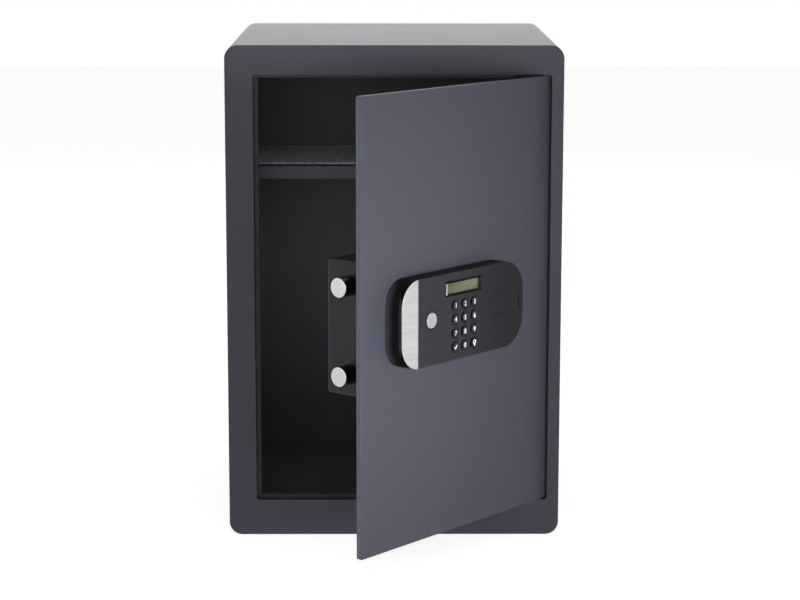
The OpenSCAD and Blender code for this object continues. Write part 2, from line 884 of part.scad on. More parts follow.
module bolt_bushes() {
    color("#141416")
    on_door()
    for (z = bolt_zs)
        difference() {
            union() {
                rod_x(case_l, case_l + bush_len, bolt_y, z, bush_r);
                rod_x(case_l - bush_flange_t, case_l, bolt_y, z, bush_r + bush_flange);
            }
            rod_x(case_l - bush_flange_t - through, case_l + bush_len + through,
                bolt_y, z, bolt_r + bush_air);
        }
}

// Locking bolts and the sliding carriage behind them
module locking_bolt(z) {
    color("#d8d8da")
    on_door() {
        translate([bolt_tip_x, bolt_y, z]) rotate([0, 90, 0])
            cylinder(r1 = bolt_r - bolt_chamfer, r2 = bolt_r, h = bolt_chamfer);
        rod_x(bolt_tip_x + bolt_chamfer, bolt_root_x, bolt_y, z, bolt_r);
        rod_x(bolt_root_x - tiny, bolt_root_x + tail_len, bolt_y, z, tail_r);
    }
}

module bolt_upper() {
    locking_bolt(bolt_zs[1]);
}

module bolt_lower() {
    locking_bolt(bolt_zs[0]);
}

module bolt_carrier() {
    color("#8a8a90")
    on_door()
    difference() {
        box(carrier_x0, carrier_x1, bar_y0, carrier_y1, bolt_zs[0] - carrier_end, bolt_zs[1] + carrier_end);
        for (z = bolt_zs)
            rod_x(carrier_x0 - through, carrier_x1 + through, bolt_y, z, tail_r);
    }
}

module bolt_nuts() {
    color("silver")
    on_door()
    for (z = bolt_zs)
        difference() {
            translate([carrier_x1, bolt_y, z]) rotate([0, 90, 0])
                cylinder(r = nut_w / 2, h = nut_t, $fn = 6);
            rod_x(carrier_x1 - through, carrier_x1 + nut_t + through, bolt_y, z, tail_r);
        }
}

// Involute function, in degrees
function inv(a) = tan(a) * 180 / PI - a;
// Half the angle that a pinion tooth fills at radius r
function half_tooth(r) = 90 / gear_z - backlash / 2 / gear_r * 90 / PI
    + inv(gear_angle) - inv(r > base_r ? acos(base_r / r) : 0);
gear_steps = 8;
tooth_sink = 0.2;
rack_spare = 1;
dedendum = 1.25 * gear_m;
root_r = gear_r - dedendum;
tip_r = gear_r + gear_m;
flank_rs = concat([root_r - tooth_sink],
    [for (i = [0 : gear_steps]) base_r + (tip_r - base_r) * i / gear_steps]);

// One pinion tooth that points along angle a
module pinion_tooth(a) {
    left = [for (r = flank_rs) r * [cos(a + half_tooth(r)), sin(a + half_tooth(r))]];
    right = [for (i = [len(flank_rs) - 1 : -1 : 0])
        flank_rs[i] * [cos(a - half_tooth(flank_rs[i])), sin(a - half_tooth(flank_rs[i]))]];
    polygon(concat(left, right));
}

module drive_pinion() {
    color("white")
    on_door() {
        translate([pinion_x, gear_y1, pinion_z]) rotate([90, 0, 0])
            linear_extrude(gear_y1 - gear_y0) {
                circle(root_r);
                for (i = [0 : gear_z - 1]) pinion_tooth(90 + (i + 0.5) * 360 / gear_z);
            }
        rod_y(pinion_x, gear_y1 - tiny, gearbox_y0 + shaft_in, pinion_z, shaft_r);
    }
}

// One rack tooth, its tip down, centred at x
module rack_tooth(x) {
    pitch_z = bar_z0 + gear_m;
    half = tooth_pitch / 4 - backlash / 4;
    tip = half - gear_m * tan(gear_angle);
    root = half + dedendum * tan(gear_angle);
    polygon([[x - tip, bar_z0], [x + tip, bar_z0],
        [x + root, pitch_z + dedendum + tiny], [x - root, pitch_z + dedendum + tiny]]);
}

// Flat bar with the rack on its lower edge and a gap in which the cam turns
module drive_bar() {
    rack_lead = ceil((tip_r + rack_spare) / tooth_pitch);
    rack_run = ceil((bolt_throw + tip_r + rack_spare) / tooth_pitch);
    root_z = bar_z0 + gear_m + dedendum;
    color("#9a9aa0")
    on_door()
    slab(bar_y0, bar_y1) {
        difference() {
            block_shape(carrier_x1, bar_x1, bar_z0, bar_z1);
            block_shape(pinion_x - (rack_lead + 0.5) * tooth_pitch, pinion_x + (rack_run + 0.5) * tooth_pitch,
                bar_z0 - through, root_z);
            block_shape(cyl_x - notch_half, cyl_x + notch_half, bar_z0 - through, notch_top);
        }
        for (k = [-rack_lead : rack_run]) rack_tooth(pinion_x + k * tooth_pitch);
    }
}

module gearbox() {
    color("#c8c8cc")
    on_door()
    difference() {
        rod_y(pinion_x, gearbox_y0, gearbox_y1, pinion_z, gearbox_r);
        rod_y(pinion_x, gearbox_y0 - through, gearbox_y0 + shaft_in + shaft_end_air,
            pinion_z, shaft_r + bush_air);
    }
}

module motor() {
    color("#b8b8bc")
    on_door() {
        rod_y(pinion_x, gearbox_y1, gearbox_y1 + motor_len, pinion_z, motor_r);
        rod_y(pinion_x, gearbox_y1 + motor_len - tiny, gearbox_y1 + motor_len + bearing_h,
            pinion_z, bearing_r);
    }
}

// Saddle that carries the gearbox off the door plate
module motor_cradle() {
    w = gearbox_r + cradle_wall;
    color("#202023")
    on_door()
    difference() {
        box(pinion_x - w, pinion_x + w, door_back_y, gearbox_y1,
            pinion_z - gearbox_r - cradle_foot, pinion_z - cradle_drop);
        rod_y(pinion_x, door_back_y - through, gearbox_y1 + through, pinion_z, gearbox_r);
    }
}

// Batteries, boards and wiring
module battery_holder() {
    color("#18181a")
    on_door()
    difference() {
        box(holder_l, holder_rt, holder_y0, case_in_y, holder_b, holder_b + holder_h);
        box(holder_l + holder_t, holder_rt - holder_t, holder_y0 + holder_t, case_in_y + through,
            holder_b + holder_t, holder_b + holder_h - holder_t);
    }
}

module batteries() {
    x0 = holder_l + holder_t + cell_air + cell_r;
    z0 = holder_b + holder_t + cell_air;
    color("#6f7a4a")
    on_door()
    for (i = [0 : cells - 1]) {
        rod_z(x0 + i * cell_pitch, cell_y, z0, z0 + cell_len - cell_tip_h, cell_r);
        rod_z(x0 + i * cell_pitch, cell_y, z0 + cell_len - cell_tip_h - tiny, z0 + cell_len, cell_tip_r);
    }
}

module battery_cover() {
    plug = cover_rim + cover_plug_air;
    color("#1c1c1f")
    on_door() {
        slab(case_back_y + seat_air, case_back_y + seat_air + cover_t)
            rounded(holder_l, holder_rt, holder_b, holder_b + holder_h, cover_r);
        slab(case_in_y + seat_air, case_back_y + seat_air + tiny)
            block_shape(holder_l + plug, holder_rt - plug, holder_b + plug, holder_b + holder_h - plug);
    }
}

module control_board() {
    color("#1f5a35")
    on_door() {
        box(board_l, board_rt, board_y1 - board_t, board_y1, board_b, board_top);
        for (x = [board_l + spacer_inset, board_rt - spacer_inset])
            for (z = [board_b + spacer_inset, board_top - spacer_inset])
                rod_y(x, board_y1 - tiny, case_in_y, z, post_r);
        box(board_l + socket_x, board_l + socket_x + socket_w, board_y1 - board_t - socket_d,
            board_y1 - board_t + tiny, board_b + socket_z, board_b + socket_z + socket_h);
    }
}

module reset_button() {
    foot_y = board_y1 + reset_travel + reset_gap;
    color("#b02a2a")
    on_door() {
        rod_y(reset_x, foot_y, case_back_y + reset_show, reset_z, reset_r);
        rod_y(reset_x, foot_y, case_in_y - seat_air, reset_z, reset_r + reset_rim);
    }
}

// Flat lead from the keypad board, through the door plate and up to the control board
module keypad_lead() {
    x0 = lead_x - lead_w / 2;
    x1 = lead_x + lead_w / 2;
    z_end = board_b + lead_rise;
    color("#26262a")
    on_door() {
        box(x0, x1, keypad_board_y + board_t, lead_turn_y, lead_z - lead_t / 2, lead_z + lead_t / 2);
        box(x0, x1, lead_turn_y - lead_t, lead_turn_y, lead_z - lead_t / 2, z_end);
        box(x0, x1, lead_turn_y - lead_t, board_y1 - board_t, z_end - lead_t, z_end);
    }
}

// Keypad unit
module keypad_housing() {
    color("#131317")
    on_door()
    difference() {
        union() {
            difference() {
                slab(fascia_back_y, front_y) pad_shape();
                slab(fascia_back_y - through, pad_floor_y) pad_shape(pad_wall);
            }
            for (p = screw_places) rod_y(p[0], fascia_back_y, pad_floor_y + tiny, p[1], boss_r);
            for (x = [keypad_board_x0 + post_inset, keypad_board_x1 - post_inset])
                for (z = [keypad_board_z0 + post_inset, keypad_board_z1 - post_inset])
                    rod_y(x, keypad_board_y + board_t, pad_floor_y + tiny, z, post_r);
        }
        for (p = screw_places)
            rod_y(p[0], fascia_back_y + boss_front, front_y + through, p[1], pad_screw_r);
        rod_y(cyl_x, pad_floor_y - through, front_y + through, cyl_z, cyl_r + cyl_air);
        rod_y(lead_x, pad_floor_y - through, front_y + through, lead_z, lead_hole_r);
    }
}

module housing_screws() {
    color("silver")
    on_door()
    screws(screw_places, door_back_y, door_back_y - fascia_back_y - pad_screw_end, pad_screw_r, pad_head_r);
}

// Columns from the lock side to the hinge side, rows from the top down
function key_place(col, row) = [key_mid_x + (col - 1) * key_pitch_x, key_top_z - row * key_pitch_z];

module keypad_fascia() {
    recess_y = pad_front_y + strip_t - strip_proud;
    color("#404048")
    on_door()
    difference() {
        slab(pad_front_y, fascia_back_y) pad_shape();
        slab(pad_front_y - through, recess_y)
            block_shape(pad_l + strip_edge, strip_rt + strip_gap, pad_b - through, pad_top + through);
        for (col = [0 : 2])
            for (row = [0 : 3]) {
                p = key_place(col, row);
                rod_y(p[0], pad_front_y - through, fascia_back_y + through, p[1], key_r + key_air);
                rod_y(p[0], pad_front_y - through, pad_front_y + ring_d, p[1], key_r + key_air + ring_w);
            }
        slab(pad_front_y - through, fascia_back_y + through) lcd_shape(0);
        rod_y(badge_mid_x, pad_front_y - through, badge_seat_y, row_z, badge_r + badge_air);
        slab(pad_front_y - through, hatch_seat_y) hatch_shape(0);
        slab(pad_front_y - through, fascia_back_y + through) hatch_shape(hatch_ledge);
    }
}

module lcd_shape(rim) {
    block_shape(lcd_mid_x - lcd_w / 2 - rim, lcd_mid_x + lcd_w / 2 + rim,
        lcd_mid_z - lcd_h / 2 - rim, lcd_mid_z + lcd_h / 2 + rim);
}

module hatch_shape(inset) {
    rounded(hatch_mid_x - hatch_w / 2 + inset, hatch_mid_x + hatch_w / 2 - inset,
        hatch_mid_z - hatch_h / 2 + inset, hatch_mid_z + hatch_h / 2 - inset, hatch_r);
}

module end_strip() {
    y0 = pad_front_y - strip_proud;
    color("#dcdde0")
    on_door()
    slab(y0, y0 + strip_t)
        intersection() {
            rounded(pad_l + strip_edge, pad_mid_x, pad_b, pad_top, pad_r_lock);
            block_shape(pad_l, strip_rt, pad_b, pad_top);
        }
}

module badge_disc() {
    color("#d0d0d3") on_door() rod_y(badge_mid_x, badge_seat_y - badge_t, badge_seat_y, row_z, badge_r);
}

module display_lens() {
    color([0.8, 0.85, 0.8, 0.4]) on_door() slab(fascia_back_y, fascia_back_y + lens_t) lcd_shape(lens_rim);
}

module display_module() {
    color("#888c70") on_door() slab(fascia_back_y + lens_t, keypad_board_y) lcd_shape(lens_rim + module_rim);
}

module key_mat() {
    color("#2a2a2e")
    on_door()
    difference() {
        box(key_mid_x - key_pitch_x - flange_r, key_mid_x + key_pitch_x + flange_r, mat_y0, keypad_board_y,
            key_top_z - 3 * key_pitch_z - flange_r, key_top_z + flange_r - mat_top_air);
        for (col = [0 : 2])
            for (row = [0 : 3]) {
                p = key_place(col, row);
                rod_y(p[0], mat_y0 - through, keypad_board_y + through, p[1], stem_r + mat_bore_air);
            }
    }
}

module keypad_board() {
    color("#1f5a35")
    on_door()
    box(keypad_board_x0, keypad_board_x1, keypad_board_y, keypad_board_y + board_t,
        keypad_board_z0, keypad_board_z1);
}

// Cover over the keyhole: a plate on a ledge, a plug through the panel and a nail slot
module emergency_cover() {
    plate_y = pad_front_y + hatch_t;
    nail_x1 = hatch_mid_x + hatch_w / 2 - nail_inset;
    color("#3a3a42")
    on_door()
    difference() {
        union() {
            slab(pad_front_y, plate_y) hatch_shape(hatch_air);
            slab(plate_y - tiny, fascia_back_y + hatch_end) hatch_shape(hatch_ledge + hatch_air);
        }
        slab(plate_y, fascia_back_y + through) hatch_shape(hatch_ledge + hatch_wall);
        box(nail_x1 - nail_w, nail_x1, pad_front_y - through, pad_front_y + nail_d,
            hatch_mid_z - nail_h / 2, hatch_mid_z + nail_h / 2);
    }
}

module lock_cylinder() {
    color("#9c9ca0")
    on_door()
    difference() {
        union() {
            rod_y(cyl_x, cyl_front_y, cyl_end_y, cyl_z, cyl_r);
            rod_y(cyl_x, pad_floor_y - cyl_flange_t, pad_floor_y, cyl_z, cyl_flange_r);
        }
        rod_y(cyl_x, cyl_front_y - through, cyl_end_y + through, cyl_z, plug_r + plug_air);
    }
}

module cylinder_nut() {
    color("silver")
    on_door()
    difference() {
        translate([cyl_x, door_back_y, cyl_z]) rotate([-90, 0, 0])
            cylinder(r = cyl_r + cyl_nut_wall, h = cyl_nut_t, $fn = 6);
        rod_y(cyl_x, door_back_y - through, door_back_y + cyl_nut_t + through, cyl_z, cyl_r);
    }
}

// Plug with its keyway, and the cam that draws the drive bar back
module lock_plug() {
    color("goldenrod")
    on_door()
    difference() {
        union() {
            rod_y(cyl_x, cyl_front_y, cyl_end_y, cyl_z, plug_r);
            rod_y(cyl_x, cyl_end_y - tiny, bar_y0, cyl_z, cam_hub_r);
        }
        box(cyl_x - keyway_w / 2, cyl_x + keyway_w / 2, cyl_front_y - through, cyl_front_y + keyway_d,
            cyl_z - keyway_h / 2, cyl_z + keyway_h / 2);
    }
}

module lock_cam() {
    color("silver")
    on_door() {
        rod_y(cyl_x, bar_y0, bar_y0 + cam_t, cyl_z, cam_hub_r);
        intersection() {
            rod_y(cyl_x, bar_y0, bar_y0 + cam_t, cyl_z, cam_r);
            box(cyl_x - cam_r - through, cyl_x, bar_y0, bar_y0 + cam_t, cyl_z - cam_w / 2, cyl_z + cam_w / 2);
        }
    }
}

// One key: a cap with a dished top, a flange behind the panel and a stem to the board
module pad_key(col, row) {
    p = key_place(col, row);
    y0 = pad_front_y - key_rise;
    color("#36363d")
    on_door()
    difference() {
        union() {
            rod_y(p[0], y0, fascia_back_y + flange_air + tiny, p[1], key_r);
            rod_y(p[0], fascia_back_y + flange_air, key_flange_y, p[1], flange_r);
            rod_y(p[0], key_flange_y - tiny, stem_tip_y, p[1], stem_r);
        }
        translate([p[0], y0 - dish_r + dish_d, p[1]]) sphere(dish_r);
    }
}

body_shell();
back_panel();
front_frame();
door_stop();
strike_plate();
hinge_brackets();
hinge_pins();
hinge_washer();
shelf();
shelf_brackets();
shelf_mat();
floor_mat();
door_plate();
hinge_blocks();
lock_case();
case_studs();
case_screws();
bolt_bushes();
bolt_upper();
bolt_lower();
bolt_carrier();
bolt_nuts();
drive_bar();
drive_pinion();
gearbox();
motor();
motor_cradle();
battery_holder();
batteries();
battery_cover();
control_board();
reset_button();
keypad_lead();
keypad_housing();
housing_screws();
keypad_fascia();
end_strip();
badge_disc();
display_lens();
display_module();
key_mat();
keypad_board();
emergency_cover();
lock_cylinder();
cylinder_nut();
lock_plug();
lock_cam();
pad_key(0, 0);  // key_1
pad_key(1, 0);  // key_2
pad_key(2, 0);  // key_3
pad_key(0, 1);  // key_4
pad_key(1, 1);  // key_5
pad_key(2, 1);  // key_6
pad_key(0, 2);  // key_7
pad_key(1, 2);  // key_8
pad_key(2, 2);  // key_9
pad_key(0, 3);  // key_enter
pad_key(1, 3);  // key_0
pad_key(2, 3);  // key_program
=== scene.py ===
"""Looks of the office safe, in metres, round the fixed frame.

Finishes, mats, key legends, display mask, floor, light and camera.
"""
import bpy
import bmesh
import json
import math
from mathutils import Matrix, Vector

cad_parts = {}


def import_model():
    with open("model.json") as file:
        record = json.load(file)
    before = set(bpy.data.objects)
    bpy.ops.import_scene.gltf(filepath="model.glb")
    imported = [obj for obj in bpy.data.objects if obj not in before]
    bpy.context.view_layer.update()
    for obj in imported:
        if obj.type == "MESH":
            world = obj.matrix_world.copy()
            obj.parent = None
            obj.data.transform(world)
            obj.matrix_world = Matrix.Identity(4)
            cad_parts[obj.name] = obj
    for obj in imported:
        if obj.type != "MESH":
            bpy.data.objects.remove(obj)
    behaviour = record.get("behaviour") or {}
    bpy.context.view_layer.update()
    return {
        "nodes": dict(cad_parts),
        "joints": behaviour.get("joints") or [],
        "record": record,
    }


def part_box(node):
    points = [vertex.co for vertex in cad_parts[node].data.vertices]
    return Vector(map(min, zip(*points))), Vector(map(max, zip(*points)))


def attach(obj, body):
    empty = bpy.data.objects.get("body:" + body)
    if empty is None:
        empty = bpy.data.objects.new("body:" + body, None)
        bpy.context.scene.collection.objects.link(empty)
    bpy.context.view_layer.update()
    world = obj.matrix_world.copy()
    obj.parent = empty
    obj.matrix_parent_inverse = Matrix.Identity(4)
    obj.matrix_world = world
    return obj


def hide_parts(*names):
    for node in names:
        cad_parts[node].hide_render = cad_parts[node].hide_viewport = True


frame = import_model()
nodes = frame["nodes"]
record = frame["record"]
MM = 0.001

# Places worked out from the frame: the cabinet's outline, the doorway, the hinge line and floor holes
SHELL_LO, SHELL_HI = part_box("body_shell")
FRONT_LO, FRONT_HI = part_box("front_frame")
STOP_LO, STOP_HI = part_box("door_stop")
WALL = SHELL_HI.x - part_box("back_panel")[1].x
door_hinge = next(j for j in frame["joints"] if j["name"] == "door_hinge")
HINGE = Vector(door_hinge["pos_m"])
OPEN_ANGLE = math.radians(-door_hinge["range_deg"][0])
floor_bolts = next(m for m in record["mounts"] if m["name"] == "floor_bolts")
FLOOR_HOLE_X = floor_bolts["dims"]["spacing_x_mm"] * MM / 2
FLOOR_HOLE_Y = floor_bolts["pos_m"][1]
FLOOR_HOLE_R = floor_bolts["dims"]["hole_r_mm"] * MM


def swung(point, angle):
    """A place turned by an angle about the door's hinge line."""
    foot = Vector((HINGE.x, HINGE.y, 0))
    return Matrix.Rotation(angle, 4, "Z") @ (Vector(point) - foot) + foot


def closed(point):
    """A place on the open door, as it lies with the door shut."""
    return swung(point, -OPEN_ANGLE)


def opened(point):
    """A place on the shut door, as it lies with the door open."""
    return swung(point, OPEN_ANGLE)


def closed_box(node):
    """Lowest and highest corner of a node on the door, with the door shut."""
    points = [closed(v.co) for v in nodes[node].data.vertices]
    lo = Vector((min(p[i] for p in points) for i in range(3)))
    hi = Vector((max(p[i] for p in points) for i in range(3)))
    return lo, hi


# Shader nodes that materials, floor and world share
def math_node(tree, operation, a, b):
    """Result of a sum or product; a and b are sockets or numbers."""
    n = tree.nodes.new("ShaderNodeMath")
    n.operation = operation
    for socket, value in zip(n.inputs, (a, b)):
        if isinstance(value, (int, float)):
            socket.default_value = value
        else:
            tree.links.new(value, socket)
    return n.outputs[0]


def map_range(tree, value, low, high, a, b):
    """Maps value from low..high to a..b, and holds a and b beyond."""
    n = tree.nodes.new("ShaderNodeMapRange")
    for key, number in (("From Min", low), ("From Max", high), ("To Min", a), ("To Max", b)):
        n.inputs[key].default_value = number
    tree.links.new(value, n.inputs["Value"])
    return n.outputs["Result"]


# Materials
# Black of painted shade and painted shadow
SHADE_BLACK = (0.002, 0.002, 0.002)
# Painted shade for the front plate's keyhole end
FASCIA_SHADE = (0.002, 0.002, 0.004)
PAINT = (0.04, 0.041, 0.057)
# The body's powder coat, painted paler as light on the door
DOOR_PAINT = (0.05, 0.051, 0.069)
CASE_PAINT = (0.016, 0.0155, 0.021)
FASCIA = (0.019, 0.0182, 0.0232)
KEY_CAP = (0.015, 0.0145, 0.0185)


def times(color, factor):
    """A colour made paler or darker by a factor."""
    return tuple(factor * c for c in color)


class Shader:
    """A Principled material whose nodes are added by name; texture places come from the object."""

    def __init__(self, name, color, roughness, metallic=0.0, door=False, **sockets):
        self.name = name
        self.mat = bpy.data.materials.new(name)
        self.mat.use_nodes = True
        self.tree = self.mat.node_tree
        self.bsdf = self.tree.nodes["Principled BSDF"]
        self.bsdf.inputs["Base Color"].default_value = (*color, 1)
        self.bsdf.inputs["Roughness"].default_value = roughness
        self.bsdf.inputs["Metallic"].default_value = metallic
        for key, value in sockets.items():
            self.bsdf.inputs[key.replace("_", " ")].default_value = value
        self.color = color
        self.place = self.coords(door)

    def node(self, kind, **values):
        n = self.tree.nodes.new(kind)
        for key, value in values.items():
            if key in n.inputs:
                n.inputs[key].default_value = value
            else:
                setattr(n, key, value)
        return n

    def link(self, a, b):
        self.tree.links.new(a, b)

    def coords(self, door):
        """Object places in metres, turned to the shut door where the piece rides on it."""
        out = self.node("ShaderNodeTexCoord").outputs["Object"]
        if not door:
            return out
        turn = self.node("ShaderNodeMapping")
        turn.inputs["Rotation"].default_value = (0, 0, -OPEN_ANGLE)
        turn.inputs["Location"].default_value = closed((0, 0, 0))
        self.link(out, turn.inputs["Vector"])
        return turn.outputs["Vector"]

    def stretch(self, scale):
        """Places scaled by a different amount along each axis."""
        n = self.node("ShaderNodeMapping")
        n.inputs["Scale"].default_value = scale
        self.link(self.place, n.inputs["Vector"])
        return n.outputs["Vector"]

    def along(self, axis):
        """Place along one axis, in metres."""
        n = self.node("ShaderNodeSeparateXYZ")
        self.link(self.place, n.inputs["Vector"])
        return n.outputs[axis]

    def noise(self, size, detail=2.0, rough=0.5, place=None):
        """Noise whose grains are about size metres across."""
        n = self.node("ShaderNodeTexNoise", Scale=1 / size, Detail=detail, Roughness=rough)
        self.link(place or self.place, n.inputs["Vector"])
        return n.outputs["Fac"]

    def ramp(self, value, low, high, a, b):
        return map_range(self.tree, value, low, high, a, b)

    def rise(self, axis, start, width, top=1):
        """0 along an axis up to start, growing to top over width metres."""
        return self.ramp(self.along(axis), start, start + width, 0, top)

    def fall(self, axis, start, width, top=1):
        """Top along an axis up to start, sinking to 0 over width metres."""
        return self.ramp(self.along(axis), start, start + width, top, 0)

    def both(self, a, b):
        """High only where both values are high."""
        return math_node(self.tree, "MULTIPLY", a, b)

    def blend(self, value, a, b):
        """Colour a where value is low and b where it is high; a is a colour or a socket."""
        n = self.node("ShaderNodeMix", data_type="RGBA")
        if isinstance(a, tuple):
            n.inputs[6].default_value = (*a, 1)
        else:
            self.link(a, n.inputs[6])
        n.inputs[7].default_value = (*b, 1)
        self.link(value, n.inputs[0])
        return n.outputs[2]

    def tint(self, value, dark, light):
        """Colours the base between two multiples of its colour."""
        pale = tuple(min(1, c * light) for c in self.color)
        self.link(self.blend(value, times(self.color, dark), pale), self.bsdf.inputs["Base Color"])

    def mix(self, value, color):
        """Lays another colour over the tinted base where value is high."""
        base = self.bsdf.inputs["Base Color"]
        self.link(self.blend(value, base.links[0].from_socket, color), base)

    def paint_shade(self, value):
        """Painted shade: black with hardly any gloss where value is high."""
        self.mix(value, SHADE_BLACK)
        gloss = self.blend(value, (1, 1, 1), (0.15, 0.15, 0.15))
        self.link(gloss, self.bsdf.inputs["Specular Tint"])

    def roughen(self, value, low, high):
        self.link(self.ramp(value, 0.3, 0.7, low, high), self.bsdf.inputs["Roughness"])

    def bump(self, value, height):
        """Adds relief of that height in metres; calls add up."""
        n = self.node("ShaderNodeBump", Strength=1.0, Distance=height)
        self.link(value, n.inputs["Height"])
        normal = self.bsdf.inputs["Normal"]
        if normal.is_linked:
            self.link(normal.links[0].from_socket, n.inputs["Normal"])
        self.link(n.outputs["Normal"], normal)


def powder(name, color, roughness, door=False, gloss=0.3):
    """Fine-grained powder coat: orange peel, tiny specks and a slow change of sheen."""
    s = Shader(name, color, roughness, door=door, Specular_IOR_Level=gloss)
    grain = s.noise(0.9 * MM, detail=3, rough=0.6)
    s.tint(s.ramp(grain, 0.35, 0.65, 0, 1), 0.86, 1.25)
    s.roughen(s.noise(60 * MM, detail=2), roughness - 0.01, roughness + 0.02)
    s.bump(s.noise(2.2 * MM, detail=1), 0.012 * MM)
    s.bump(grain, 0.02 * MM)
    return s


def door_coat(name):
    """Powder coat with painted light, paler on the door's free edge and a little at its hinge edge."""
    lo, hi = closed_box("door_plate")
    s = powder(name, DOOR_PAINT, 0.42, door=True)
    # Painted light on the free edge
    s.mix(s.fall("X", lo.x, 0.4 * MM), times(DOOR_PAINT, 1.75))
    # Painted light that offsets the shade in the groove by the hinge edge
    s.mix(s.rise("X", hi.x - 8 * MM, 7 * MM, top=0.5), times(DOOR_PAINT, 2.2))
    return s


def case_coat(name):
    """Powder coat with painted highlights along two edges of the lock case's bolt end."""
    lo, hi = closed_box("lock_case")
    s = powder(name, CASE_PAINT, 0.38, door=True)
    end = s.fall("X", lo.x + 0.6 * MM, 0.4 * MM)
    rear = s.rise("Y", hi.y - 1.1 * MM, 0.3 * MM)
    top = s.rise("Z", hi.z - 1.1 * MM, 0.3 * MM)
    # Painted highlight lines on the rear and top edges of the bolt end
    for edge in (rear, top):
        s.mix(s.both(end, edge), times(CASE_PAINT, 3.2))
    return s


def inside_coat(name):
    """Charcoal of the back panel's inside, painted pale as light; its rear face has the body's colour."""
    back_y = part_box("back_panel")[1].y
    # Its warm hue is the panel's own; its paleness is painted light in the dim cabinet
    s = powder(name, (0.118, 0.109, 0.119), 0.4, gloss=0.35)
    s.mix(s.rise("Y", back_y - 1 * MM, 0.2 * MM), PAINT)
    return s


def shelf_coat(name):
    """Powder coat of the shelf, painted pale as light; its top, under the mat, is black as painted
    shadow.
    """
    top_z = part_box("shelf")[1].z
    # Paler than the body's paint: painted light on the shelf
    s = powder(name, (0.108, 0.104, 0.13), 0.34)
    # Painted shadow along the top under the mat's edge
    s.paint_shade(s.rise("Z", top_z - 0.6 * MM, 0.3 * MM))
    return s


def moulded(name, color, roughness, grain=0.35, depth=0.01, gloss=0.5):
    """Moulded plastic or rubber on the door; grain and depth of its texture are in millimetres."""
    s = Shader(name, color, roughness, door=True, Specular_IOR_Level=gloss)
    fine = s.noise(grain * MM, detail=2, rough=0.6)
    s.tint(s.ramp(fine, 0.35, 0.65, 0, 1), 0.9, 1.14)
    s.roughen(s.noise(18 * MM, detail=2), roughness - 0.03, roughness + 0.03)
    s.bump(fine, depth * MM)
    return s


# Where the sides of a face get painted shade: how far below it this begins, and over what depth
CAP_DEPTH, CAP_FADE = 0.15 * MM, 0.2 * MM


def fascia_plastic(name):
    """Satin black front plate, with painted shade darker towards the keyhole and in its recesses.

    The plate's left rim and the recess of the keyhole's cover stay satin.
    """
    lo = closed_box("keypad_fascia")[0]
    cover_x = closed_box("emergency_cover")[0].x
    s = moulded(name, FASCIA, 0.5, gloss=0.2)
    # Painted shade, growing towards the keyhole end
    s.mix(s.rise("X", cover_x - 45 * MM, 60 * MM, top=0.6), FASCIA_SHADE)
    below = s.rise("Y", lo.y + CAP_DEPTH, CAP_FADE)
    inward = s.rise("X", lo.x + 2.2 * MM, 0.4 * MM)
    before = s.fall("X", cover_x - 3 * MM, 1 * MM)
    # Painted shade on the walls of the recesses below the face
    s.paint_shade(s.both(below, s.both(inward, before)))
    return s


def key_plastic(name):
    """Keys with satin caps, and painted shade on their stems."""
    face_y = closed_box("key_5")[0].y
    s = moulded(name, KEY_CAP, 0.45, grain=0.25, gloss=0.25)
    # Painted shade on the stems below the caps
    s.paint_shade(s.rise("Y", face_y + CAP_DEPTH, CAP_FADE))
    return s


def housing_plastic(name):
    """Black moulding with painted light, fading to charcoal at the foot of its lock-side wall."""
    lo, hi = closed_box("keypad_housing")
    s = moulded(name, (0.0045, 0.0045, 0.0055), 0.5, gloss=0.1)
    foot = s.rise("Y", hi.y - 9.5 * MM, 6.5 * MM)
    end = s.fall("X", lo.x + 5 * MM, 11 * MM)
    # Painted light at the foot of the lock-side wall
    s.mix(s.both(foot, end), (0.052, 0.052, 0.058))
    return s


def metal(name, color, roughness, dark=0.9, stretch=(1, 1, 1)):
    """Bare or plated metal on the door with a fine grain, drawn out where stretch is under 1."""
    s = Shader(name, color, roughness, metallic=1.0, door=True)
    lines = s.noise(1.5 * MM, detail=3, rough=0.65, place=s.stretch(stretch))
    s.tint(s.ramp(lines, 0.3, 0.7, 0, 1), dark, 1.06)
    s.roughen(lines, roughness - 0.05, roughness + 0.07)
    s.bump(lines, 0.004 * MM)
    return s


def brushed_strip(name):
    """End strip brushed along X, with dull black sides."""
    face_y = closed_box("end_strip")[0].y
    s = metal(name, (0.96, 0.97, 1.0), 0.3, dark=0.92, stretch=(0.02, 1, 1))
    s.mix(s.rise("Y", face_y + 0.25 * MM, 0.15 * MM), (0.02, 0.02, 0.022))
    return s


def turned_bolt(name):
    """Round bars with bright faced ends and dark, turned sides."""
    end_x = closed_box("bolt_upper")[0].x
    s = Shader(name, (0.84, 0.84, 0.84), 0.24, metallic=1.0, door=True)
    fine = s.noise(0.6 * MM, detail=2, place=s.stretch((8, 1, 1)))
    s.tint(s.ramp(fine, 0.3, 0.7, 0, 1), 0.93, 1.03)
    s.mix(s.rise("X", end_x + 0.25 * MM, 0.1 * MM), (0.07, 0.07, 0.075))
    s.roughen(fine, 0.2, 0.31)
    s.bump(fine, 0.003 * MM)
    return s


def felt(name, color, flecks):
    """Needled felt: matted fibres and pale flecks."""
    s = Shader(name, color, 0.95, Sheen_Weight=0.25, Sheen_Roughness=0.5)
    fibre = s.noise(0.7 * MM, detail=4, rough=0.7)
    s.tint(s.ramp(fibre, 0.35, 0.65, 0, 1), 0.55, 1.6)
    s.mix(s.ramp(s.noise(1.6 * MM, detail=3, rough=0.75), 0.6, 0.68, 0, 0.55), flecks)
    s.bump(fibre, 0.35 * MM)
    s.bump(s.noise(3 * MM, detail=2), 0.4 * MM)
    return s


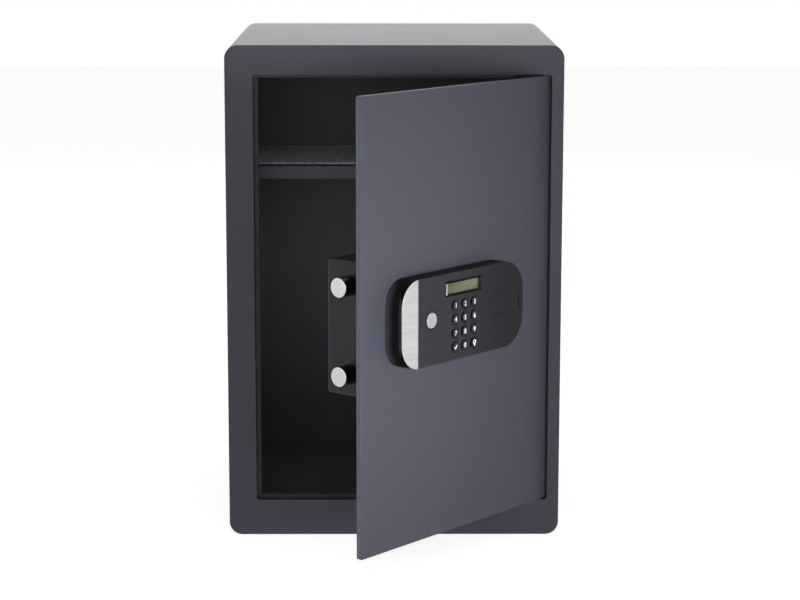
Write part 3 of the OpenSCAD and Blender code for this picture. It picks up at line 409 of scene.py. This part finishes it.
def shelf_felt(name):
    """Tufted felt: painted highlight on the front edge, painted shade at the left end and the foot."""
    # The felt's pale colour is painted light for the shaded shelf
    color, flecks, edge_highlight = (0.65, 0.62, 0.78), (0.85, 0.85, 0.93), (0.9, 0.9, 0.93)
    x, y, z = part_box("shelf_mat")[0]
    s = felt(name, color, flecks)
    tuft = s.noise(4 * MM, detail=4, rough=0.8, place=s.stretch((1, 0.22, 1)))
    s.mix(s.ramp(tuft, 0.53, 0.62, 0, 0.9), flecks)
    s.mix(s.ramp(tuft, 0.38, 0.48, 0.7, 0), times(color, 0.45))
    # Painted shade along the front edge at the left end
    left = s.fall("X", x + 20 * MM, 65 * MM, top=0.75)
    s.mix(s.both(left, s.fall("Y", y + 1 * MM, 0.5 * MM)), times(color, 0.4))
    # Painted highlight on the top by the front edge, growing to the right
    edge = s.both(s.rise("Y", y + 0.5 * MM, 0.7 * MM), s.fall("Y", y + 6 * MM, 7 * MM))
    edge = s.both(edge, s.ramp(s.along("X"), x + 10 * MM, x + 95 * MM, 0.1, 1))
    s.mix(s.both(edge, s.ramp(tuft, 0.35, 0.6, 0.35, 1)), edge_highlight)
    # Painted shadow on the lower part of the front face
    foot = s.both(s.fall("Y", y + 0.6 * MM, 0.4 * MM), s.fall("Z", z + 1.5 * MM, 0.3 * MM))
    s.mix(foot, SHADE_BLACK)
    return s


def clear_lens(name):
    """Clear acrylic with faint smudges."""
    s = Shader(name, (0.92, 0.95, 0.92), 0.04, IOR=1.49, Transmission_Weight=1.0)
    s.roughen(s.noise(9 * MM, detail=3), 0.02, 0.07)
    return s


def panel_glass(name):
    """Grey-green reflective display, a little uneven."""
    s = Shader(name, (0.268, 0.284, 0.164), 0.3, door=True)
    s.tint(s.ramp(s.noise(14 * MM, detail=1), 0.3, 0.7, 0, 1), 0.9, 1.1)
    s.bump(s.noise(0.5 * MM), 0.002 * MM)
    return s


# Every finish, by the name that the record's slots and this script's pieces use
FINISHES = [
    powder("body_paint", PAINT, 0.34),
    shelf_coat("shelf_paint"),
    inside_coat("inside_paint"),
    # Door stop in the lock case's darker colour: painted shade on the doorway's lip
    powder("stop_paint", CASE_PAINT, 0.4),
    door_coat("door_paint"),
    case_coat("case_paint"),
    metal("plated_steel", (0.62, 0.62, 0.63), 0.32),
    turned_bolt("bolt_chrome"),
    metal("brass", (0.72, 0.55, 0.28), 0.3),
    metal("cast_zinc", (0.55, 0.55, 0.57), 0.5),
    metal("dark_steel", (0.05, 0.05, 0.055), 0.45),
    brushed_strip("strip_metal"),
    metal("badge_metal", (0.77, 0.77, 0.8), 0.35),
    fascia_plastic("fascia_plastic"),
    housing_plastic("housing_plastic"),
    key_plastic("key_plastic"),
    moulded("black_plastic", (0.014, 0.014, 0.016), 0.5),
    moulded("white_plastic", (0.72, 0.72, 0.69), 0.4),
    moulded("red_plastic", (0.4, 0.02, 0.02), 0.3),
    clear_lens("lens_clear"),
    panel_glass("lcd_panel"),
    moulded("board_green", (0.015, 0.11, 0.045), 0.3, grain=1.2),
    moulded("cell_sleeve", (0.1, 0.17, 0.07), 0.25, grain=2.5),
    moulded("key_rubber", (0.025, 0.025, 0.027), 0.7),
    shelf_felt("mat_felt"),
    felt("floor_felt", (0.085, 0.08, 0.088), (0.2, 0.2, 0.21)),
    moulded("legend_white", (0.93, 0.93, 0.94), 0.5, grain=0.4, depth=0.002),
    # Display mask: black and dark grey also as painted shade, pale grey as painted highlight
    moulded("bezel_black", (0.003, 0.003, 0.003), 0.4, gloss=0.05),
    moulded("bezel_side", (0.022, 0.021, 0.018), 0.5, gloss=0.1),
    moulded("reveal_highlight_grey", (0.25, 0.25, 0.275), 0.35),
]
paint = {shader.name: shader.mat for shader in FINISHES}
slot_of = {s["node"]: s["material_slot"] for s in record["subparts"]}
slot_of.update(
    back_panel="inside_paint", shelf="shelf_paint", door_stop="stop_paint", badge_disc="badge_metal"
)

KEYS = [n for n in nodes if n.startswith("key_") and n != "key_mat"]

# Edge radius of each CAD node in millimetres; nodes that aren't named here keep their edges
EDGES_MM = {
    "back_panel": 0.6, "door_stop": 0.4, "strike_plate": 0.4, "hinge_brackets": 0.8, "hinge_washer": 0.1,
    "hinge_pins": 0.2, "hinge_blocks": 0.5, "shelf": 0.4, "shelf_brackets": 0.4, "door_plate": 0.8,
    "lock_case": 0.6, "case_studs": 0.2, "case_screws": 0.15, "bolt_bushes": 0.2, "bolt_upper": 0.25,
    "bolt_lower": 0.25, "bolt_carrier": 0.4, "bolt_nuts": 0.4, "drive_bar": 0.12, "gearbox": 0.6,
    "motor": 0.8, "motor_cradle": 0.5, "battery_holder": 0.3, "batteries": 0.4, "battery_cover": 0.5,
    "control_board": 0.15, "reset_button": 0.3, "keypad_lead": 0.2, "keypad_housing": 0.5,
    "housing_screws": 0.15, "keypad_fascia": 0.12, "end_strip": 0.15, "badge_disc": 0.25,
    "display_lens": 0.15, "display_module": 0.1, "key_mat": 0.2, "keypad_board": 0.15,
    "emergency_cover": 0.08, "lock_cylinder": 0.2, "cylinder_nut": 0.4, "lock_plug": 0.2, "lock_cam": 0.3,
}
EDGES_MM.update(dict.fromkeys(KEYS, 0.3))


def joined_group():
    """Joins the frame's split corners and lets smooth shading run over them."""
    g = bpy.data.node_groups.new("joined_mesh", "GeometryNodeTree")
    g.interface.new_socket("Geometry", in_out="INPUT", socket_type="NodeSocketGeometry")
    g.interface.new_socket("Geometry", in_out="OUTPUT", socket_type="NodeSocketGeometry")
    start, end = g.nodes.new("NodeGroupInput"), g.nodes.new("NodeGroupOutput")
    weld = g.nodes.new("GeometryNodeMergeByDistance")
    weld.inputs["Distance"].default_value = 0.002 * MM
    drop = g.nodes.new("GeometryNodeRemoveAttribute")
    drop.inputs["Name"].default_value = "custom_normal"
    smooth = g.nodes.new("GeometryNodeSetShadeSmooth")
    chain = [start, weld, drop, smooth, end]
    for a, b in zip(chain, chain[1:]):
        g.links.new(a.outputs[0], b.inputs[0])
    return g


JOINED = joined_group()


def soften(obj, radius):
    """Rounds a piece's sharp edges."""
    obj.modifiers.new("joined", "NODES").node_group = JOINED
    flat = obj.modifiers.new("flat", "DECIMATE")
    flat.decimate_type = "DISSOLVE"
    flat.angle_limit = math.radians(0.5)
    edge = obj.modifiers.new("edge", "BEVEL")
    edge.width = radius
    edge.segments = 3
    edge.limit_method = "ANGLE"
    edge.angle_limit = math.radians(32)
    edge.use_clamp_overlap = True
    edge.harden_normals = True


for name, obj in nodes.items():
    obj.data.materials.clear()
    obj.data.materials.append(paint[slot_of[name]])
    if name in EDGES_MM:
        soften(obj, EDGES_MM[name] * MM)


# Helpers for what this script adds
def linked(name, data):
    """A new object in the scene."""
    obj = bpy.data.objects.new(name, data)
    bpy.context.scene.collection.objects.link(obj)
    return obj


def mesh_object(name, bm):
    """A new object in the scene, of a bmesh that this uses up."""
    mesh = bpy.data.meshes.new(name)
    bm.to_mesh(mesh)
    bm.free()
    return linked(name, mesh)


def new_object(name, bm, slot, body):
    """Makes a piece from a bmesh, with its finish, riding on a body."""
    bmesh.ops.recalc_face_normals(bm, faces=bm.faces)
    obj = mesh_object(name, bm)
    obj.data.materials.append(paint[slot])
    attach(obj, body)
    return obj


def shade(obj, angle):
    """Smooth shading, with edges sharper than angle kept sharp."""
    obj.data.shade_smooth()
    obj.data.set_sharp_from_angle(angle=math.radians(angle))


def loft(bm, rows):
    """Closed skin through rows of points; the last row joins the first."""
    made = [[bm.verts.new(p) for p in row] for row in rows]
    for a, b in zip(made, made[1:] + made[:1]):
        for i in range(len(a)):
            j = (i + 1) % len(a)
            bm.faces.new((a[i], a[j], b[j], b[i]))


def evaluated_mesh(obj):
    """Copy of an object's mesh with its modifiers applied."""
    bpy.context.view_layer.update()
    return bpy.data.meshes.new_from_object(obj.evaluated_get(bpy.context.evaluated_depsgraph_get()))


def drill(obj, radius, z):
    """Cuts upright round holes at the two floor fixings, through a layer at height z."""
    for side in (-1, 1):
        bm = bmesh.new()
        bmesh.ops.create_cone(
            bm, cap_ends=True, segments=48, radius1=radius, radius2=radius, depth=20 * MM
        )
        tool = mesh_object("drill", bm)
        tool.location = (side * FLOOR_HOLE_X, FLOOR_HOLE_Y, z)
        cut = obj.modifiers.new("drill", "BOOLEAN")
        cut.object = tool
        cut.solver = "EXACT"
        drilled = evaluated_mesh(obj)
        obj.modifiers.clear()
        obj.data = drilled
        bpy.data.objects.remove(tool)


# Cabinet skin: one shell for the wrap and the front frame, with a rounded front edge
CORNER = 14 * MM


def rounded_ring(x0, x1, z0, z1, radius):
    """Points of a rounded rectangle in X and Z, anticlockwise from the lower right corner."""
    steps = 12
    r = max(radius, 0.01 * MM)
    corners = [(x1 - r, z0 + r, -90), (x1 - r, z1 - r, 0), (x0 + r, z1 - r, 90), (x0 + r, z0 + r, 180)]
    points = []
    for cx, cz, start in corners:
        for i in range(steps + 1):
            a = math.radians(start + 90 * i / steps)
            points.append((cx + r * math.cos(a), cz + r * math.sin(a)))
    return points


def cabinet_skin():
    front_round, rear_round, lip_round = 1.3 * MM, 0.6 * MM, 0.5 * MM
    doorway_corner, stop_sheet, steps = 3.5 * MM, 2 * MM, 5
    y_front, y_plate, y_back = FRONT_LO.y, FRONT_HI.y, SHELL_HI.y
    rows = []

    def add_row(y, lo, hi, inset, radius):
        ring = rounded_ring(lo.x + inset, hi.x - inset, lo.z + inset, hi.z - inset, radius - inset)
        rows.append([(x, y, z) for x, z in ring])

    def outer(y, inset):
        add_row(y, SHELL_LO, SHELL_HI, inset, CORNER)

    def doorway(y, grow):
        """The doorway is the inside of the stop's sheet, and grows where its lip is rounded."""
        add_row(y, STOP_LO, STOP_HI, stop_sheet - grow, doorway_corner + stop_sheet)

    def rounding(radius):
        """Steps over a rounded edge: distance behind the face, and in from the side."""
        turns = [math.radians(90 * i / steps) for i in range(steps + 1)]
        return [(radius * (1 - math.sin(a)), radius * (1 - math.cos(a))) for a in turns]

    doorway(y_plate, 0)
    for behind, grow in rounding(lip_round):
        doorway(y_front + behind, grow)
    for behind, inset in reversed(rounding(front_round)):
        outer(y_front + behind, inset)
    for before, inset in rounding(rear_round):
        outer(y_back - before, inset)
    outer(y_back, WALL)
    outer(y_plate, WALL)
    bm = bmesh.new()
    loft(bm, rows)
    obj = new_object("cabinet_skin", bm, "body_paint", "cabinet")
    drill(obj, FLOOR_HOLE_R, 0)
    shade(obj, 30)
    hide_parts("body_shell", "front_frame")


cabinet_skin()


# Mats: felt sheets with a soft, slightly wavy top and rolled edges
MAT_HOLE_R = 12 * MM


def mat_lines(a, b):
    """Places of the mesh lines from edge a to edge b, closer together where the edges roll down."""
    spacing, rolled = 3 * MM, [0.25 * MM, 0.6 * MM, 1.2 * MM]
    count = round((b - a) / spacing)
    inner = [a + (b - a) * i / count for i in range(count + 1)]
    return sorted(set(inner + [a + e for e in rolled] + [b - e for e in rolled]))


def mat_top(lo, hi, x, y):
    """Height of the mat's top: rolled down at its edges, and slightly wavy."""
    roll, wave_height = 1.2 * MM, 0.12 * MM
    edge = min(x - lo.x, hi.x - x, y - lo.y, hi.y - y)
    dip = roll - math.sqrt(max(0, roll ** 2 - max(0, roll - edge) ** 2))
    wave = math.sin(x * 95 + 2 * math.sin(y * 40)) + math.sin(y * 120 + x * 33)
    return hi.z - dip + wave_height * (wave - 2)


def corner_rise(x):
    """Height by which the wrap's rounded inner corners lift a mat on the cabinet's floor."""
    inner = CORNER - WALL
    into = max(0, abs(x) - (SHELL_HI.x - CORNER))
    return inner - math.sqrt(max(0, inner ** 2 - into ** 2))


def mat(node, slot, on_floor=False):
    thinnest = 0.3 * MM
    lo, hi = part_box(node)

    def underside(x, y):
        foot = lo.z + (corner_rise(x) if on_floor else 0)
        return min(foot, mat_top(lo, hi, x, y) - thinnest)

    xs, ys = mat_lines(lo.x, hi.x), mat_lines(lo.y, hi.y)
    bm = bmesh.new()
    top = [[bm.verts.new((x, y, mat_top(lo, hi, x, y))) for x in xs] for y in ys]
    low = [[bm.verts.new((x, y, underside(x, y))) for x in xs] for y in ys]
    for j in range(len(ys) - 1):
        for i in range(len(xs) - 1):
            bm.faces.new((top[j][i], top[j][i + 1], top[j + 1][i + 1], top[j + 1][i]))
            bm.faces.new((low[j][i], low[j + 1][i], low[j + 1][i + 1], low[j][i + 1]))
    for i in range(len(xs) - 1):
        bm.faces.new((low[0][i], low[0][i + 1], top[0][i + 1], top[0][i]))
        bm.faces.new((low[-1][i], top[-1][i], top[-1][i + 1], low[-1][i + 1]))
    for j in range(len(ys) - 1):
        bm.faces.new((low[j][0], top[j][0], top[j + 1][0], low[j + 1][0]))
        bm.faces.new((low[j][-1], low[j + 1][-1], top[j + 1][-1], top[j][-1]))
    obj = new_object(node + "_felt", bm, slot, "cabinet")
    if on_floor:
        drill(obj, MAT_HOLE_R, lo.z)
    shade(obj, 50)
    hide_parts(node)


mat("shelf_mat", "mat_felt")
mat("floor_mat", "floor_felt", on_floor=True)


# Key legends: each shape is points in X and Z round its centre, and faces of those points
DIGIT_HEIGHT, TICK_SIZE, KEY_SIZE = 4.8 * MM, 4.5 * MM, 6.2 * MM


def digit_shape(digit):
    """A digit in the built-in font, a little bolder."""
    curve = bpy.data.curves.new("legend", "FONT")
    curve.body = digit
    curve.size = 1.0
    curve.offset = 0.018
    curve.align_x = "CENTER"
    curve.resolution_u = 6
    holder = linked("legend", curve)
    mesh = evaluated_mesh(holder)
    bpy.data.objects.remove(holder)
    xs, ys = [v.co.x for v in mesh.vertices], [v.co.y for v in mesh.vertices]
    scale = DIGIT_HEIGHT / (max(ys) - min(ys))
    mid_x, mid_y = (max(xs) + min(xs)) / 2, (max(ys) + min(ys)) / 2
    verts = [((x - mid_x) * scale, (y - mid_y) * scale) for x, y in zip(xs, ys)]
    faces = [tuple(p.vertices) for p in mesh.polygons]
    bpy.data.meshes.remove(mesh)
    return verts, faces


def tick_shape():
    """A tick of even width with square ends."""
    half = 0.1 * TICK_SIZE
    places = [(-0.42, 0.02), (-0.12, -0.34), (0.45, 0.42)]
    start, corner, end = [Vector(p) * TICK_SIZE for p in places]
    down, up = (corner - start).normalized(), (end - corner).normalized()
    across = (down + up).normalized()
    mitre = half / across.dot(up)
    verts = []
    for point, way, reach in ((start, down, half), (corner, across, mitre), (end, up, half)):
        side = Vector((-way.y, way.x)) * reach
        verts += [tuple(point + side), tuple(point - side)]
    return verts, [(0, 1, 3, 2), (2, 3, 5, 4)]


def key_shape():
    """A key with a ring bow at the top and a plain shank."""
    bow, inner, centre = 0.36 * KEY_SIZE, 0.19 * KEY_SIZE, 0.14 * KEY_SIZE
    half, top, foot = 0.1 * KEY_SIZE, centre - bow + 0.06 * KEY_SIZE, -0.5 * KEY_SIZE
    count = 24
    verts, faces = [], []
    for i in range(count):
        a = 2 * math.pi * i / count
        verts += [(r * math.cos(a), centre + r * math.sin(a)) for r in (bow, inner)]
        j = (i + 1) % count
        faces.append((2 * i, 2 * j, 2 * j + 1, 2 * i + 1))
    verts += [(-half, foot), (half, foot), (half, top), (-half, top)]
    faces.append(tuple(2 * count + i for i in range(4)))
    return verts, faces


def legend(node):
    """Puts a key's mark on its dished top, proud by the ink's thickness."""
    dish, depth, ink = 14 * MM, 0.35 * MM, 0.03 * MM
    if node == "key_enter":
        verts, faces = tick_shape()
    elif node == "key_program":
        verts, faces = key_shape()
    else:
        verts, faces = digit_shape(node[-1])
    lo, hi = closed_box(node)
    mid_x, mid_z = (lo.x + hi.x) / 2, (lo.z + hi.z) / 2
    bm = bmesh.new()
    made = []
    for x, z in verts:
        sag = max(0.0, math.sqrt(dish ** 2 - x * x - z * z) - (dish - depth))
        made.append(bm.verts.new(opened((mid_x + x, lo.y + sag - ink, mid_z + z))))
    for face in faces:
        bm.faces.new([made[i] for i in face])
    new_object("legend_" + node, bm, "legend_white", node + "_body")


for name in KEYS:
    legend(name)


def badge_ring():
    """Thin black bezel that lies on the front plate round the blank disc."""
    gap, width, proud, chamfer, count = 0.35 * MM, 1.0 * MM, 0.12 * MM, 0.1 * MM, 72
    lo, hi = closed_box("badge_disc")
    face = closed_box("keypad_fascia")[0].y
    mid_x, mid_z, inner = (lo.x + hi.x) / 2, (lo.z + hi.z) / 2, (hi.x - lo.x) / 2 + gap
    outer = inner + width
    profile = [(inner, face - proud), (outer - chamfer, face - proud), (outer, face), (inner, face)]
    rows = []
    for i in range(count):
        a = 2 * math.pi * i / count
        rows.append([opened((mid_x + r * math.cos(a), y, mid_z + r * math.sin(a))) for r, y in profile])
    bm = bmesh.new()
    loft(bm, rows)
    shade(new_object("badge_ring", bm, "bezel_black", "door"), 30)


badge_ring()


# Display behind the lens: black mask, also painted shade, round the panel; pale highlight bar at its left
# end
def plate(name, x, y, z, slot):
    """A thin plate on the shut door with softened edges; x, y and z hold its two ends each."""
    bm = bmesh.new()
    bmesh.ops.create_cube(bm, size=1)
    for v in bm.verts:
        v.co = [(a + b) / 2 + unit * (b - a) for unit, (a, b) in zip(v.co, (x, y, z))]
    bmesh.ops.bevel(bm, geom=bm.edges[:], offset=0.1 * MM, segments=2, profile=0.5, affect="EDGES")
    for v in bm.verts:
        v.co = opened(v.co)
    shade(new_object(name, bm, slot, "door"), 30)


def display_mask():
    """Fills the window round the display just below the front plate's face; painted shade and highlight.
    """
    rim, below_face, off_lens, bar_step = 0.85 * MM, 0.35 * MM, 0.02 * MM, 0.1 * MM
    left_width, right_width, bar_width = 1.5 * MM, 0.9 * MM, 2.6 * MM
    top_height, foot_height = 2.3 * MM, 2.0 * MM
    lo, hi = closed_box("display_lens")
    left, right, low, high = lo.x + rim, hi.x - rim, lo.z + rim, hi.z - rim
    front, back = closed_box("keypad_fascia")[0].y + below_face, lo.y - off_lens
    bar_x = left + left_width
    depth, between = (front, back), (low + foot_height, high - top_height)
    # Black mask, also painted shade of the window's reveal
    plate("mask_top", (left, right), depth, (high - top_height, high), "bezel_black")
    plate("mask_foot", (left, right), depth, (low, low + foot_height), "bezel_black")
    plate("mask_left", (left, bar_x), depth, between, "bezel_black")
    plate("mask_right", (right - right_width, right), depth, between, "bezel_side")
    # Painted highlight: a pale bar for the lit left wall of the window
    plate("reveal_highlight_bar", (bar_x, bar_x + bar_width), (front + bar_step, back), between, "reveal_highlight_grey")


display_mask()


# Floor, light and camera
# Glow of the floor to the camera, in reflections and as bounced light
FLOOR_SEEN, FLOOR_MIRROR, FLOOR_BOUNCE = 0.78, 0.34, 0.85
# Strength of the world to the camera, as light, and in reflections before and behind the safe
WORLD_SEEN, WORLD_LIGHT, MIRROR_FRONT, MIRROR_BACK = 1, 0.2, 0.5, 1.2
# Directions, by their Y, between which reflections turn from the front's strength to the back's
MIRROR_FROM, MIRROR_TO = -0.2, 0.8

# Softboxes: name, place, target, size, watts and the angle in degrees that the light spreads over
LAMPS = [
    ("right_softbox", (1.3, -2.3, 0.4), (0, -0.2, 0.25), (1.0, 1.0), 3.5, 180),
    ("grid_softbox", (1.0, -1.5, 0.4), (-0.05, -0.42, 0.27), (0.4, 0.4), 0.82, 26),
    ("left_softbox", (-2.2, -1.6, 0.6), (0, -0.2, 0.3), (1.0, 1.0), 10, 180),
    ("back_softbox", (0.3, 2.2, 1.9), (0, -0.1, 0.4), (2.4, 0.8), 11.6, 180),
    ("front_softbox", (-0.1, -2.9, 0.4), (0, 0, 0.3), (1.2, 0.5), 2.6, 180),
    ("raised_softbox", (-0.1, -2.8, 1.0), (0, 0, 0.3), (1.2, 0.5), 4.5, 180),
    ("near_softbox", (0.15, -0.9, 0.78), (0, -0.25, 0.3), (0.3, 0.3), 0.6, 180),
    ("key_softbox", (0.15, -0.85, 0.3), (0, -0.35, 0.28), (0.3, 0.3), 0.16, 180),
]


def floor():
    """Pale floor that glows by itself and still takes the safe's shadow."""
    bm = bmesh.new()
    bmesh.ops.create_grid(bm, x_segments=1, y_segments=1, size=6)
    obj = mesh_object("floor", bm)
    m = bpy.data.materials.new("floor")
    m.use_nodes = True
    t = m.node_tree
    t.nodes.clear()
    out = t.nodes.new("ShaderNodeOutputMaterial")
    diffuse = t.nodes.new("ShaderNodeBsdfDiffuse")
    diffuse.inputs["Color"].default_value = (0.9, 0.9, 0.9, 1)
    glow = t.nodes.new("ShaderNodeEmission")
    rays = t.nodes.new("ShaderNodeLightPath")
    add = t.nodes.new("ShaderNodeAddShader")
    seen = math_node(t, "MULTIPLY", rays.outputs["Is Camera Ray"], FLOOR_SEEN)
    mirrored = math_node(t, "MULTIPLY", rays.outputs["Is Glossy Ray"], FLOOR_MIRROR)
    bounced = math_node(t, "MULTIPLY", rays.outputs["Is Diffuse Ray"], FLOOR_BOUNCE)
    strength = math_node(t, "ADD", math_node(t, "ADD", seen, mirrored), bounced)
    t.links.new(strength, glow.inputs["Strength"])
    t.links.new(diffuse.outputs[0], add.inputs[0])
    t.links.new(glow.outputs[0], add.inputs[1])
    t.links.new(add.outputs[0], out.inputs["Surface"])
    obj.data.materials.append(m)


def world():
    """White to the camera and through glass; in reflections bright behind the safe and dim before it."""
    w = bpy.data.worlds.new("studio")
    bpy.context.scene.world = w
    w.use_nodes = True
    t = w.node_tree
    back = t.nodes["Background"]
    back.inputs["Color"].default_value = (1, 1, 1, 1)
    rays = t.nodes.new("ShaderNodeLightPath")
    toward = t.nodes.new("ShaderNodeSeparateXYZ")
    t.links.new(t.nodes.new("ShaderNodeTexCoord").outputs["Generated"], toward.inputs[0])
    mirror = map_range(t, toward.outputs["Y"], MIRROR_FROM, MIRROR_TO,
                       MIRROR_FRONT - WORLD_LIGHT, MIRROR_BACK - WORLD_LIGHT)
    glossy = math_node(t, "MULTIPLY", mirror, rays.outputs["Is Glossy Ray"])
    clear = math_node(t, "ADD", rays.outputs["Is Camera Ray"], rays.outputs["Is Transmission Ray"])
    seen = math_node(t, "MULTIPLY", clear, WORLD_SEEN - WORLD_LIGHT)
    level = math_node(t, "ADD", math_node(t, "ADD", glossy, seen), WORLD_LIGHT)
    t.links.new(level, back.inputs["Strength"])


def lamp(name, place, target, size, watts, spread):
    data = bpy.data.lights.new(name, "AREA")
    data.spread = math.radians(spread)
    data.shape = "RECTANGLE"
    data.size, data.size_y = size
    data.energy = watts
    obj = linked(name, data)
    obj.location = place
    obj.rotation_euler = (Vector(target) - Vector(place)).to_track_quat("-Z", "Y").to_euler()


def camera():
    """Camera solved from the photograph's edges: place, axes and focal length."""
    place = Vector((-14.24, -2540.91, 689.48)) * MM
    right = Vector((0.99996, -0.00837, 0.00137))
    up = Vector((0.00017, 0.18129, 0.98343))
    ahead = Vector((0.00848, 0.98339, -0.18128))
    sensor_mm, focal_mm = 36, 103.198
    data = bpy.data.cameras.new("camera")
    data.sensor_fit = "HORIZONTAL"
    data.sensor_width = sensor_mm
    data.lens = focal_mm
    data.clip_start, data.clip_end = 0.05, 50
    obj = linked("camera", data)
    turn = Matrix((right, up, -ahead)).transposed().to_4x4()
    obj.matrix_world = Matrix.Translation(place) @ turn
    bpy.context.scene.camera = obj


floor()
world()
for options in LAMPS:
    lamp(*options)
camera()
bpy.context.scene.view_settings.view_transform = "Standard"
